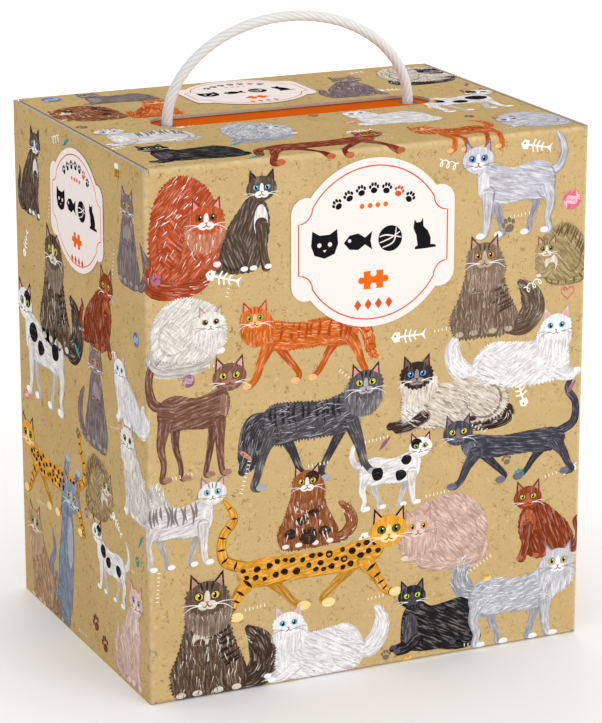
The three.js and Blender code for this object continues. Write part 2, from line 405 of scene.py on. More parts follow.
def boardMesh(name, outlines, cuts, place, rubbedAndHighlit=None):
    # a closed board: printed outside (0), lined inside (1) and raw at its cut edges (2)
    flat = flatOutline(outlines, cuts)
    flat.verts.index_update()
    outer = [place(v.co.x, v.co.y, 0.0) for v in flat.verts]
    inner = [place(v.co.x, v.co.y, -board) for v in flat.verts]
    count = len(outer)
    faces, kinds = [], []
    for face in flat.faces:
        loop = [v.index for v in face.verts]
        faces += [loop, [i + count for i in reversed(loop)]]
        kinds += [0, 1]
    for edge in flat.edges:
        if len(edge.link_faces) == 1:
            a, b = (v.index for v in edge.verts)
            faces.append([a, b, b + count, a + count])
            kinds.append(2)
    # how strongly each point takes the lighter fold colour of rubbed wear and painted highlight
    rub = [rubbedAndHighlit(v.co.x, v.co.y) if rubbedAndHighlit else 0.0 for v in flat.verts] * 2
    flat.free()
    return fixNormals(solid(name, outer + inner, faces, kinds, rub=("FLOAT", rub)))


def solid(name, points, faces, kinds=None, scale=mm, **attributes):
    # a mesh from points in millimetres, with a value or a vector on each point for every attribute
    mesh = bpy.data.meshes.new(name)
    mesh.from_pydata([Vector(p) * scale for p in points], [], faces)
    if kinds:
        mesh.polygons.foreach_set("material_index", kinds)
    for key, (kind, values) in attributes.items():
        field = {"FLOAT": "value", "FLOAT_VECTOR": "vector", "FLOAT_COLOR": "color"}[kind]
        values = values if kind == "FLOAT" else [c for value in values for c in value]
        mesh.attributes.new(key, kind, "POINT").data.foreach_set(field, values)
    return mesh


def tubeFaces(rings, sides):
    # faces between closed rings of points
    return [[ring * sides + k, ring * sides + (k + 1) % sides, (ring + 1) * sides + (k + 1) % sides,
             (ring + 1) * sides + k] for ring in range(rings) for k in range(sides)]


def fixNormals(mesh):
    work = bmesh.new()
    work.from_mesh(mesh)
    bmesh.ops.recalc_face_normals(work, faces=work.faces[:])
    work.to_mesh(mesh)
    work.free()
    mesh.update()
    return mesh


def turned(u, v, turn=0.0, size=1.0):
    # gives a function that scales and turns a point of a small drawing and moves it to (u, v)
    c, s = math.cos(turn), math.sin(turn)
    return lambda x, y: (u + (x * c - y * s) * size, v + (x * s + y * c) * size)


def oval(at, x, y, radiusX, radiusY, count):
    angles = [2 * math.pi * i / count for i in range(count)]
    return [at(x + radiusX * math.cos(a), y + radiusY * math.sin(a)) for a in angles]


def circle(u, v, radius, count=28):
    return oval(turned(u, v), 0, 0, radius, radius, count)


# u runs round the walls from the middle of the front, v runs up and over onto the lid
def wallPoint(u, v, out):
    side, run, radius = (1 if u >= 0 else -1), abs(u), fold + out
    if run <= sideStart:
        turn = max(0.0, run - flatHalf) / fold
        x = min(run, flatHalf) + radius * math.sin(turn)
        y = fold - halfDepth - radius * math.cos(turn)
    elif run <= sideEnd:
        x, y = flatHalf + radius, fold - halfDepth + run - sideStart
    else:
        turn = min(run - sideEnd, foldRun) / fold
        x = flatHalf + radius * math.cos(turn) - max(0.0, run - backStart)
        y = halfDepth - fold + radius * math.sin(turn)
    z = v
    base, near = (backLow.z if run > backStart else 0.0), 0.001
    if (run <= flatHalf + near or run > backStart - near) and v < base + fold:
        turn = (base + fold - v) / fold        # the foot of the front and the back curls under
        lift = radius * (1 - math.cos(turn))
        y += lift if run <= flatHalf + near else -lift
        z = base + fold - radius * math.sin(turn)
    return Vector((side * x, y, z))


def lidPoint(u, v, out):
    radius = fold + out
    if v <= lidFold:
        return Vector((u, -halfDepth - out, v))
    if v <= lidStart:
        turn = (v - lidFold) / fold
        return Vector((u, fold - halfDepth - radius * math.cos(turn), lidFold + radius * math.sin(turn)))
    if v <= lidFlatEnd:
        return Vector((u, fold - halfDepth + v - lidStart, topLevel + out))
    rear = carton["rearRound"]
    turn = (v - lidFlatEnd) / rear
    return Vector((u, lidHigh.y - rear + (rear + out) * math.sin(turn),
                   topLevel - rear + (rear + out) * math.cos(turn)))


steps = carton["foldSteps"]
uprightCuts = [("u", side * line) for side in (1, -1) for start in (flatHalf, sideEnd)
               for line in foldLines(start, start + foldRun, steps)]
footCuts = [("v", line) for line in foldLines(fold - foldRun, fold, steps)]
backFootCuts = [("v", line + backLow.z) for line in foldLines(fold - foldRun, fold, steps)]
lidCuts = [("v", line) for line in foldLines(lidFold, lidStart, steps)]
lidCuts += [("v", line) for line in foldLines(lidFlatEnd, lidEnd, carton["rearSteps"])]


def nearFold(u, v):
    # 1 on the middle of a fold, fading out on the flats beside it; this is where rubbed wear and a painted
    # highlight lighten the print
    lines = [abs(abs(u) - flatHalf - foldRun / 2), abs(abs(u) - sideEnd - foldRun / 2)]
    if abs(u) <= flatHalf:
        lines += [abs(v - lidFold - foldRun / 2), abs(v - fold / 2), abs(v - lidEnd)]
    return max(0.0, 1.0 - min(lines) / carton["rubbedAndHighlitReach"])


# height of the lowest ink shape, rise of each level over it, and how strongly the ink prints
inkFilm = {"first": 0.012, "step": 0.011, "strength": 0.9}


def curveThrough(points, closed, steps):
    # Catmull-Rom curve through points of any size
    count = len(points)
    result = []
    for i in range(count if closed else count - 1):
        if closed:
            a, b, c, d = (points[(i + k - 1) % count] for k in range(4))
        else:
            a, b, c, d = (points[min(max(i + k - 1, 0), count - 1)] for k in range(4))
        for s in range(steps):
            t = s / steps
            result.append(tuple(0.5 * (2 * q + (r - p) * t + (2 * p - 5 * q + 4 * r - w) * t * t
                                       + (3 * q - p - 3 * r + w) * t ** 3)
                                for p, q, r, w in zip(a, b, c, d)))
    if not closed:
        result.append(points[-1])
    return result


def printed(colour):
    return tuple(c * inkFilm["strength"] for c in linear(colour)[:3]) + (1.0,)


class Drawing:
    # ink shapes on the unrolled board, each at its own small height so that later ones lie on top
    def __init__(self):
        self.points, self.faces, self.colours, self.runs, self.furs = [], [], [], [], []
        self.shapes = 0

    def add(self, points, faces, level, colour, fur=0.0, runs=None, angle=0.0, seed=0.0, rise=0.0):
        base, tone = len(self.points), printed(colour)
        ca, sa = math.cos(angle), math.sin(angle)
        self.shapes += 1
        height = inkFilm["first"] + inkFilm["step"] * (level + self.shapes % 9 / 10)
        for i, (u, v) in enumerate(points):
            along, across = runs[i] if runs else (u * ca + v * sa, v * ca - u * sa)
            self.points.append((u, v, height + inkFilm["step"] * rise * i / len(points)))
            self.runs.append((along * 0.16, across * 1.15, seed))
            self.colours.append(tone)
            self.furs.append(fur)
        self.faces += [[base + i for i in face] for face in faces]

    def polygon(self, points, level, colour, **look):
        faces = tessellate_polygon([[Vector((u, v, 0)) for u, v in points]])
        self.add(points, faces, level, colour, **look)

    def ribbon(self, path, level, colour, fur=0.0, seed=0.0, steps=6, capped=True):
        # path of (u, v, width); its fur runs along it
        line = curveThrough(path, False, steps)
        points, runs, length = [], [], 0.0
        for i, (u, v, width) in enumerate(line):
            before, after = line[max(i - 1, 0)], line[min(i + 1, len(line) - 1)]
            du, dv = after[0] - before[0], after[1] - before[1]
            size = math.hypot(du, dv) or 1.0
            if i:
                length += math.hypot(u - before[0], v - before[1])
            for side in (1, -1):
                points.append((u - side * dv / size * width / 2, v + side * du / size * width / 2))
                runs.append((length, side * width / 2))
        last = 2 * len(line) - 2
        faces = [[i, i + 2, i + 3, i + 1] for i in range(0, last, 2)]
        self.add(points, faces, level, colour, fur, runs, seed=seed, rise=0.1)
        for u, v, width in (line[0], line[-1]) if capped else ():
            if width > 0.7:
                self.polygon(circle(u, v, width / 2, 12), level - 0.5, colour, fur=fur, seed=seed)


class Pen:
    # draws one figure in a box: x from 0 to 1 across it, y from 0 to 1 up it, sizes in box units
    def __init__(self, drawing, u, v, width, height, facing, seed):
        self.drawing, self.u, self.v, self.width, self.height = drawing, u, v, width, height
        self.facing, self.seed = facing, seed
        self.unit = math.sqrt(width * height)
        self.random = random.Random(seed)

    def at(self, x, y):
        return self.u + (x - 0.5) * self.width * self.facing, self.v + (y - 0.5) * self.height

    def line(self, path):
        # widths as a share of the figure's size
        return [(*self.at(x, y), width * self.unit) for x, y, width in path]

    def blob(self, points, level, colour, fur=0.0, ragged=0.0, angle=0.0):
        outline = curveThrough([self.at(*p) for p in points], True, 15 if ragged > 0.5 else 7)
        if ragged:
            outline = self.rough(outline, ragged)
        look = {"fur": fur, "angle": angle * self.facing, "seed": self.seed}
        self.drawing.polygon(outline, level, colour, **look)
        return outline

    def rough(self, outline, size):
        # hair tips: every second point is pulled outwards and a little down
        count, result = len(outline), []
        turning = sum(outline[i - 1][0] * outline[i][1] - outline[i][0] * outline[i - 1][1]
                      for i in range(count))
        out = 1 if turning > 0 else -1
        for i, (u, v) in enumerate(outline):
            du, dv = (outline[(i + 1) % count][k] - outline[i - 1][k] for k in (0, 1))
            length = math.hypot(du, dv) or 1.0
            reach = size * self.share(0.3, 1.0) if i % 2 else -0.15 * size
            result.append((u + out * dv / length * reach, v - out * du / length * reach - abs(reach) * 0.25))
        return result

    def oval(self, place, radiusX, radiusY, level, colour, fur=0.0, turn=0.0, count=20, angle=0.0):
        # place and radii in millimetres
        points = oval(turned(*place, turn * self.facing), 0, 0, radiusX, radiusY, count)
        self.drawing.polygon(points, level, colour, fur=fur, angle=angle, seed=self.seed)

    def limb(self, path, wider, level, colour, fur):
        path = [(x, y, width * wider) for x, y, width in path]
        self.drawing.ribbon(self.line(path), level, colour, fur, self.seed)

    def share(self, low, high):
        return self.random.uniform(low, high)

    def somewhere(self, outline):
        # a random point in the box round an outline
        return tuple(self.share(min(p[k] for p in outline), max(p[k] for p in outline)) for k in (0, 1))

    def hairs(self, outline, level, colours, count, length, width, angle):
        # fine tapering strokes of fur inside an outline
        for _ in range(count):
            u, v = self.somewhere(outline)
            if not inside(outline, u, v):
                continue
            lean = angle + self.share(-0.4, 0.4)
            reach = length * self.share(0.6, 1.2)
            du, dv = math.cos(lean) * self.facing * reach, math.sin(lean) * reach
            if not inside(outline, u + du, v + dv):
                continue
            nu, nv = -dv / reach * width / 2, du / reach * width / 2
            tone = self.random.choice(colours)
            bend = self.share(-0.15, 0.15) * reach
            points = [(u - nu, v - nv), (u + du * 0.5 + bend * nu - nu, v + dv * 0.5 + bend * nv - nv),
                      (u + du, v + dv), (u + nu, v + nv)]
            self.drawing.add(points, [[0, 1, 2], [0, 2, 3]], level, tone)


def inside(outline, u, v):
    # whether a point lies inside an outline, from how often a line to its right crosses it
    result = False
    for (a, b), (c, d) in zip(outline, outline[1:] + outline[:1]):
        if (b > v) != (d > v) and u < (c - a) * (v - b) / (d - b) + a:
            result = not result
    return result


# coats: main colour, shade, light parts, ears, eyes, marking, length of hair 0-1
coats = {
    "redWhite": ((198, 88, 48), (150, 58, 30), (248, 238, 228), (226, 150, 140), (120, 80, 40), None, 1.0),
    "dusky": ((98, 80, 68), (40, 32, 30), (244, 240, 236), (88, 66, 62), (120, 170, 200), None, 0.2),
    "lilacWhite": ((214, 214, 222), (122, 116, 132), (240, 240, 244),
                   (206, 160, 160), (90, 130, 190), None, 0.2),
    "brownLong": ((138, 116, 96), (84, 64, 50), (192, 172, 150),
                  (190, 150, 138), (200, 140, 50), "stripes", 1.0),
    "olive": ((176, 154, 108), (112, 92, 60), (234, 224, 204),
              (214, 170, 156), (90, 120, 60), "stripes", 0.3),
    "cream": ((242, 236, 226), (170, 164, 158), (250, 248, 244), (226, 190, 180), (110, 90, 60), None, 1.0),
    "ginger": ((226, 116, 44), (184, 74, 24), (248, 190, 132),
               (236, 150, 130), (140, 190, 60), "stripes", 0.5),
    "snow": ((250, 249, 248), (212, 210, 216), (255, 255, 255), (244, 160, 160), (70, 160, 190), None, 0.8),
    "slenderBrown": ((134, 92, 74), (92, 58, 46), (166, 124, 104),
                     (222, 168, 168), (210, 190, 50), None, 0.0),
    "darkGrey": ((94, 90, 94), (46, 44, 48), (176, 174, 180),
                 (226, 150, 160), (200, 200, 50), "stripes", 1.0),
    "creamDark": ((230, 218, 200), (66, 48, 42), (246, 240, 230),
                  (120, 90, 84), (90, 150, 220), "points", 0.9),
    "blueBlack": ((76, 76, 88), (48, 48, 58), (112, 112, 126), (150, 120, 130), (220, 200, 60), None, 0.1),
    "spottedWhite": ((250, 248, 246), (32, 30, 32), (255, 255, 255),
                     (236, 170, 170), (150, 170, 60), "patches", 0.1),
    "tortoise": ((156, 92, 50), (58, 40, 34), (248, 238, 226),
                 (220, 160, 150), (210, 180, 50), "patches", 0.5),
    "silver": ((236, 232, 228), (140, 130, 126), (250, 248, 246),
               (220, 180, 176), (120, 190, 220), "stripes", 0.3),
    "rose": ((222, 190, 174), (186, 148, 134), (240, 216, 202), (226, 160, 154), (220, 150, 60), None, 0.7),
    "mahogany": ((148, 66, 34), (102, 40, 22), (188, 102, 62), (200, 130, 110), (200, 190, 60), None, 0.2),
    "leopard": ((242, 172, 52), (38, 28, 24), (252, 226, 156), (230, 170, 120), (90, 110, 50), "spots", 0.0),
    "brownTabby": ((104, 82, 66), (52, 40, 34), (226, 214, 200),
                   (190, 140, 130), (210, 190, 70), "stripes", 1.0),
    "black": ((46, 44, 47), (24, 22, 25), (84, 80, 86), (120, 90, 96), (190, 210, 60), None, 0.0),
    "mist": ((206, 208, 214), (136, 138, 150), (248, 248, 250), (226, 180, 184), (210, 180, 60), None, 1.0),
    "mauve": ((136, 122, 120), (98, 86, 88), (168, 156, 154), (190, 150, 150), (226, 140, 40), None, 0.3),
    "rosyBare": ((232, 200, 188), (200, 160, 150), (246, 222, 212),
                 (240, 180, 176), (120, 160, 190), None, 0.0),
    "tan": ((190, 156, 120), (140, 104, 74), (228, 204, 176), (220, 170, 156), (90, 140, 70), None, 1.0),
    "blueGrey": ((140, 152, 170), (96, 106, 126), (180, 190, 204),
                 (200, 160, 170), (210, 190, 60), None, 0.0),
}

# poses, looking left: outlines, and limbs of x, y and width; head is x, y and radius
poses = {
    "sit": {
        "tail": [(0.78, 0.07, 0.10), (0.97, 0.07, 0.10), (1.03, 0.24, 0.09), (0.97, 0.40, 0.06),
                 (1.0, 0.47, 0.02)],
        "far": [[(0.52, 0.42, 0.12), (0.52, 0.20, 0.09), (0.49, 0.04, 0.09)]],
        "body": [(0.30, 0.66), (0.24, 0.45), (0.30, 0.20), (0.40, 0.05), (0.66, 0.01), (0.90, 0.05),
                 (0.95, 0.20), (0.87, 0.40), (0.70, 0.58), (0.52, 0.72)],
        "legs": [[(0.35, 0.45, 0.14), (0.33, 0.20, 0.10), (0.28, 0.035, 0.10)]],
        "haunch": (0.73, 0.20, 0.19, 0.17), "chest": (0.36, 0.47, 0.10, 0.17),
        "paws": [(0.26, 0.03), (0.47, 0.03), (0.60, 0.03)], "head": (0.35, 0.79, 0.215),
        "back": [(0.58, 0.70), (0.75, 0.56), (0.88, 0.40), (0.94, 0.22)], "down": (-0.45, -1.0), "fur": -1.2},
    "front": {
        "tail": [(0.72, 0.07, 0.10), (0.96, 0.07, 0.10), (1.09, 0.21, 0.11), (1.04, 0.38, 0.09),
                 (0.93, 0.49, 0.03)],
        "far": [],
        "body": [(0.32, 0.66), (0.22, 0.42), (0.12, 0.20), (0.20, 0.02), (0.50, 0.0), (0.80, 0.02),
                 (0.88, 0.20), (0.78, 0.42), (0.68, 0.66), (0.50, 0.72)],
        "legs": [[(0.42, 0.42, 0.13), (0.41, 0.2, 0.11), (0.40, 0.04, 0.12)],
                 [(0.58, 0.42, 0.13), (0.59, 0.2, 0.11), (0.60, 0.04, 0.12)]],
        "haunch": (0.78, 0.15, 0.12, 0.14), "chest": (0.50, 0.45, 0.15, 0.17),
        "paws": [(0.39, 0.03), (0.61, 0.03), (0.22, 0.03), (0.80, 0.03)], "head": (0.50, 0.79, 0.225),
        "back": [(0.70, 0.62), (0.78, 0.44), (0.85, 0.28)], "down": (-1.0, -0.4), "fur": -1.5},
    "stand": {
        "tail": [(0.86, 0.62, 0.09), (0.95, 0.66, 0.08), (1.0, 0.80, 0.07), (0.97, 0.93, 0.06),
                 (0.93, 1.0, 0.03)],
        "far": [[(0.32, 0.42, 0.11), (0.36, 0.22, 0.075), (0.40, 0.06, 0.065), (0.36, 0.04, 0.065)],
                [(0.72, 0.48, 0.13), (0.72, 0.30, 0.08), (0.67, 0.16, 0.06), (0.66, 0.05, 0.06),
                 (0.62, 0.04, 0.06)]],
        "body": [(0.14, 0.66), (0.16, 0.50), (0.24, 0.38), (0.42, 0.35), (0.60, 0.37), (0.74, 0.36),
                 (0.86, 0.40),
                 (0.91, 0.55), (0.85, 0.70), (0.70, 0.74), (0.50, 0.69), (0.32, 0.74), (0.22, 0.78)],
        "legs": [[(0.24, 0.46, 0.13), (0.24, 0.25, 0.085), (0.22, 0.07, 0.065), (0.18, 0.04, 0.065)],
                 [(0.82, 0.50, 0.15), (0.87, 0.32, 0.09), (0.84, 0.17, 0.065), (0.86, 0.05, 0.06),
                  (0.82, 0.04, 0.06)]],
        "haunch": (0.81, 0.52, 0.10, 0.17), "chest": (0.20, 0.54, 0.06, 0.13),
        "paws": [(0.17, 0.035), (0.35, 0.035), (0.61, 0.035), (0.81, 0.035)], "head": (0.14, 0.80, 0.19),
        "back": [(0.30, 0.74), (0.50, 0.69), (0.68, 0.73), (0.84, 0.70)], "down": (-0.1, -1.0), "fur": -0.25},
    "walk": {
        "tail": [(0.84, 0.66, 0.08), (0.93, 0.60, 0.08), (0.97, 0.45, 0.08), (0.99, 0.30, 0.07),
                 (1.03, 0.22, 0.03)],
        "far": [[(0.28, 0.50, 0.10), (0.36, 0.32, 0.07), (0.44, 0.14, 0.055), (0.42, 0.06, 0.055)],
                [(0.74, 0.52, 0.12), (0.66, 0.34, 0.075), (0.60, 0.16, 0.055), (0.55, 0.08, 0.055)]],
        "body": [(0.12, 0.70), (0.15, 0.55), (0.26, 0.45), (0.45, 0.44), (0.62, 0.44), (0.78, 0.42),
                 (0.87, 0.52),
                 (0.88, 0.66), (0.80, 0.76), (0.62, 0.76), (0.42, 0.74), (0.25, 0.80), (0.18, 0.82)],
        "legs": [[(0.21, 0.52, 0.12), (0.15, 0.32, 0.08), (0.11, 0.14, 0.06), (0.06, 0.06, 0.06)],
                 [(0.80, 0.56, 0.14), (0.87, 0.36, 0.085), (0.91, 0.18, 0.06), (0.94, 0.07, 0.055),
                  (0.90, 0.05, 0.055)]],
        "haunch": (0.79, 0.58, 0.085, 0.15), "chest": (0.18, 0.60, 0.05, 0.11),
        "paws": [(0.05, 0.05), (0.41, 0.05), (0.54, 0.06), (0.89, 0.045)], "head": (0.11, 0.84, 0.165),
        "back": [(0.28, 0.79), (0.45, 0.74), (0.64, 0.76), (0.82, 0.74)], "down": (-0.1, -1.0), "fur": -0.15},
    "lie": {
        "tail": [(0.94, 0.18, 0.10), (0.98, 0.06, 0.10), (0.80, 0.0, 0.09), (0.60, 0.01, 0.06),
                 (0.50, 0.03, 0.03)],
        "far": [[(0.24, 0.22, 0.12), (0.10, 0.12, 0.09), (0.0, 0.10, 0.08)]],
        "body": [(0.14, 0.60), (0.10, 0.36), (0.12, 0.12), (0.30, 0.02), (0.60, 0.01), (0.88, 0.04),
                 (0.99, 0.20),
                 (0.96, 0.46), (0.82, 0.64), (0.62, 0.62), (0.44, 0.60), (0.30, 0.70)],
        "legs": [[(0.28, 0.18, 0.13), (0.16, 0.07, 0.10), (0.06, 0.05, 0.09)]],
        "haunch": (0.80, 0.28, 0.14, 0.24), "chest": (0.20, 0.34, 0.09, 0.20),
        "paws": [(0.05, 0.05), (0.01, 0.11), (0.70, 0.05)], "head": (0.22, 0.76, 0.21),
        "back": [(0.42, 0.60), (0.60, 0.62), (0.80, 0.63), (0.94, 0.46)], "down": (-0.1, -1.0), "fur": -0.5},
    "curl": {
        "tail": [(0.92, 0.24, 0.14), (0.90, 0.06, 0.15), (0.62, 0.02, 0.15), (0.36, 0.04, 0.12),
                 (0.22, 0.12, 0.05)],
        "far": [],
        "body": [(0.06, 0.50), (0.10, 0.20), (0.34, 0.06), (0.66, 0.04), (0.92, 0.16), (0.99, 0.44),
                 (0.90, 0.76),
                 (0.68, 0.94), (0.42, 0.92), (0.20, 0.78)],
        "legs": [[(0.34, 0.26, 0.13), (0.24, 0.16, 0.11), (0.12, 0.14, 0.10)]],
        "haunch": (0.72, 0.38, 0.17, 0.24), "chest": (0.34, 0.32, 0.12, 0.14),
        "paws": [(0.11, 0.13)], "head": (0.25, 0.55, 0.23),
        "back": [(0.44, 0.90), (0.64, 0.93), (0.84, 0.80), (0.96, 0.54)], "down": (-0.4, -1.0), "fur": -0.8},
    "reach": {
        "tail": [(0.72, 0.22, 0.08), (0.92, 0.20, 0.08), (0.98, 0.34, 0.07), (0.88, 0.44, 0.06),
                 (0.94, 0.54, 0.02)],
        "far": [[(0.52, 0.66, 0.10), (0.40, 0.80, 0.07), (0.22, 0.95, 0.06)]],
        "body": [(0.42, 0.74), (0.36, 0.58), (0.40, 0.36), (0.46, 0.18), (0.64, 0.10), (0.80, 0.18),
                 (0.80, 0.36),
                 (0.72, 0.54), (0.64, 0.70), (0.54, 0.78)],
        "legs": [[(0.60, 0.68, 0.11), (0.58, 0.82, 0.08), (0.48, 0.99, 0.07)],
                 [(0.70, 0.24, 0.15), (0.56, 0.12, 0.09), (0.66, 0.04, 0.07), (0.50, 0.02, 0.07)]],
        "haunch": (0.66, 0.24, 0.12, 0.10), "chest": (0.46, 0.55, 0.07, 0.14),
        "paws": [(0.47, 0.99), (0.21, 0.95), (0.49, 0.02)], "head": (0.40, 0.80, 0.17),
        "back": [(0.66, 0.66), (0.74, 0.50), (0.80, 0.34)], "down": (-1.0, -0.2), "fur": -1.5},
}


def changed(pose, scaleY=1.0, widths=1.0, **parts):
    # a pose made lower and with thinner limbs, and with some parts given anew
    made = dict(poses[pose])
    for part in ("far", "legs"):
        made[part] = [[(x, y * scaleY, w * widths) for x, y, w in path] for path in made[part]]
    for part in ("body", "back", "paws"):
        made[part] = [(x, y * scaleY) for x, y in made[part]]
    return {**made, **parts}


# a long cat with its tail held high, one lying with a raised brush of a tail, and one on long thin legs
poses["prowl"] = changed(
    "walk", 0.62, 0.85, haunch=(0.79, 0.36, 0.085, 0.095), chest=(0.18, 0.37, 0.05, 0.07),
    head=(0.09, 0.54, 0.15),
    tail=[(0.84, 0.42, 0.07), (0.95, 0.50, 0.065), (0.96, 0.68, 0.055), (0.90, 0.82, 0.05),
          (0.95, 0.97, 0.02)])
poses["plume"] = changed(
    "lie", tail=[(0.88, 0.30, 0.10), (1.04, 0.26, 0.11), (1.15, 0.42, 0.11), (1.18, 0.64, 0.08),
                 (1.12, 0.80, 0.03)])
poses["slim"] = changed(
    "stand", 1.0, 0.8, haunch=(0.81, 0.56, 0.09, 0.12), chest=(0.20, 0.58, 0.05, 0.09),
    body=[(x, 0.61 + (y - 0.61) * 0.72) for x, y in poses["stand"]["body"]])


# how many strokes of long hair, and for each marking how many places are tried and its size
furStrokes = {"body": 330, "ruff": 70, "tail": 46}
markings = {"spots": (1100, 0.023), "patches": (60, 0.10)}
faceInks = {"black": (16, 14, 16), "lid": (24, 20, 20), "glint": (255, 255, 255), "mouth": (70, 48, 44),
            "nose": (196, 108, 100), "darkNose": (60, 44, 44), "whisker": (250, 246, 240),
            "greyWhisker": (150, 140, 134)}


def drawHead(pen, u, v, radius, coat):
    main, shade, light, ear, eye, marking, hair = coat
    face = pen.facing
    skull = shade if marking == "points" else main
    bright = sum(skull)                          # 0 for black to 765 for white
    muzzle = tuple((a + b) // 2 for a, b in zip(shade, light)) if marking == "points" else light

    def spot(x, y, rx, ry, level, colour, turn=0.0, **look):
        place = (u + x * radius * face, v + y * radius)
        pen.oval(place, rx * radius, ry * radius, level, colour, turn=turn, **look)

    def patch(points, level, colour, **look):
        points = [(u + x * radius * face, v + y * radius) for x, y in points]
        pen.drawing.polygon(points, level, colour, seed=pen.seed, **look)

    def stroke(points, level, colour):
        # a thin line, the same on both sides of the face
        path = [(u + x * radius, v + y * radius, width * radius) for x, y, width in points]
        pen.drawing.ribbon(path, level, colour, steps=3, capped=False)

    for side in (1, -1):
        patch([(side * 0.22, 0.66), (side * 0.92, 1.42), (side * 1.0, 0.20)], 12, shade, fur=0.5)
        patch([(side * 0.42, 0.72), (side * 0.84, 1.18), (side * 0.88, 0.42)], 13, ear, fur=0.2)
    outline = []
    for i in range(44):
        a = 2 * math.pi * i / 44
        cheek = 1.0 + 0.10 * max(0.0, math.cos(a * 2 + 0.2))
        cheek += 0.14 * hair * (i % 2) if math.sin(a) < 0.5 else 0.0
        outline.append((1.06 * math.cos(a) * cheek, 0.92 * math.sin(a) * cheek))
    patch(outline, 14, skull, fur=0.55, angle=1.5)
    if marking == "patches":
        spot(0.42, 0.34, 0.55, 0.50, 15, shade, fur=0.3)
    if marking == "stripes":
        for x in (-0.26 * face, 0.0, 0.26 * face):
            stroke([(x, 0.40, 0.06), (x * 1.2, 0.66, 0.13), (x * 1.5, 0.88, 0.04)], 17, shade)
    spot(0, -0.02, 0.17, 0.42, 17, muzzle, fur=0.3, angle=1.5)
    for side in (1, -1):
        spot(side * 0.22, -0.42, 0.32, 0.25, 18, muzzle, fur=0.25, angle=0.4)
        spot(side * 0.46, 0.10, 0.27, 0.24, 18, shade if bright > 260 else faceInks["lid"], turn=side * 0.25)
        spot(side * 0.46, 0.10, 0.23, 0.20, 19, eye, turn=side * 0.25)
        spot(side * 0.43, 0.10, 0.10, 0.17, 20, faceInks["black"])
        spot(side * 0.43 - 0.05, 0.17, 0.045, 0.045, 21, faceInks["glint"], count=8)
    nose = faceInks["nose" if bright > 200 else "darkNose"]
    patch([(-0.12, -0.20), (0.12, -0.20), (0.0, -0.36)], 20, nose)
    for side in (1, -1):
        mouth = [(0, -0.35, 0.05), (side * 0.12, -0.50, 0.06), (side * 0.28, -0.47, 0.03)]
        stroke(mouth, 20, faceInks["mouth"])
        for rise in (-0.10, 0.06):
            whisker = [(side * 0.34, -0.40, 0.045), (side * 0.95, rise - 0.36, 0.04),
                       (side * 1.45, rise * 3 - 0.5, 0.015)]
            stroke(whisker, 21, faceInks["whisker" if bright < 520 else "greyWhisker"])


def drawCat(drawing, u, v, width, height, pose, coatName, facing, seed):
    pen = Pen(drawing, u, v, width, height, facing, seed)
    coat, shape = coats[coatName], poses[pose]
    main, shade, light, _, _, marking, hair = coat
    ragged = 0.2 + 1.15 * hair if hair > 0.05 else 0.0
    pointed, longHaired, run = marking == "points", hair > 0.4, shape["fur"]
    dark = tuple((4 * a + b) // 5 if marking in ("spots", "patches") else (a + b) // 2
                 for a, b in zip(main, shade))
    pale = tuple((2 * a + b) // 3 for a, b in zip(main, light))
    limbTone, under = (shade, shade) if pointed else (main, dark)
    fat = 1.0 + 1.2 * hair * hair                # how much thicker long hair makes the tail
    tail = [(x, y, w * (fat if i else 1.0)) for i, (x, y, w) in enumerate(shape["tail"])]
    pen.limb(tail, 1.12, 0, under, 0.9)
    pen.limb(tail, 0.8, 1, under if pointed or hair > 0.9 else limbTone, 0.95)
    if marking in ("spots", "stripes") and hair < 0.9:
        bars(pen, tail, 1.95, shade)
    if longHaired:
        brush(pen, tail, 2, [pale, dark, light])
    for path in shape["far"]:
        pen.limb(path, 1.0, 1, under, 0.8)
    pen.blob([(0.5 + (x - 0.5) * 1.01, y - 0.01) for x, y in shape["body"]], 2, dark, 0.8, ragged, run)
    body = pen.blob(shape["body"], 3, main, 0.95, ragged * 0.8, run)
    x, y, rx, ry = shape["haunch"]
    pen.oval(pen.at(x + 0.01, y), rx * width * 1.03, ry * height * 1.03, 4, dark, 0.8, angle=run)
    pen.oval(pen.at(x, y + 0.012), rx * width * 0.94, ry * height * 0.94, 5, main, 0.95, angle=run)
    x, y, rx, ry = shape["chest"]
    if marking != "spots":
        pen.oval(pen.at(x, y), rx * width, ry * height, 4, light, 0.8, angle=1.5)
    for path in shape["legs"]:
        pen.limb([(x + 0.006, y, w) for x, y, w in path], 1.12, 5, dark, 0.8)
        pen.limb(path, 0.92, 6, limbTone, 0.9)
        if marking == "spots":
            bars(pen, path, 6.95, shade)
    for x, y in shape["paws"]:
        pen.oval(pen.at(x, y + 0.01), 0.045 * pen.unit, 0.029 * pen.unit, 7, shade if pointed else light, 0.3)
    drawMarking(pen, body, shape, shade, marking)
    x, y, headSize = shape["head"]
    headU, headV = pen.at(x, y)
    headSize *= pen.unit
    if longHaired:
        pen.hairs(body, 10, [pale, light, dark, dark], int(furStrokes["body"] * hair), 0.085 * pen.unit,
                  0.34, run)
        ruff = circle(headU + 0.02 * width * facing, headV - 0.55 * headSize, 0.98 * headSize, 40)
        ruff = pen.rough(curveThrough(ruff, True, 3), ragged * 0.8)
        drawing.polygon(ruff, 11, pale if hair > 0.8 else main, fur=0.95, angle=1.5, seed=seed)
        pen.hairs(ruff, 11.9, [light, pale, dark], int(furStrokes["ruff"] * hair), 0.07 * pen.unit, 0.3,
                  -1.57)
    drawHead(pen, headU, headV, headSize * 0.72, coat)


def direction(line, i, reach=1):
    # unit vector along a line of points at one of them
    du, dv = (line[i + reach][k] - line[i - reach][k] for k in (0, 1))
    length = math.hypot(du, dv) or 1.0
    return du / length, dv / length


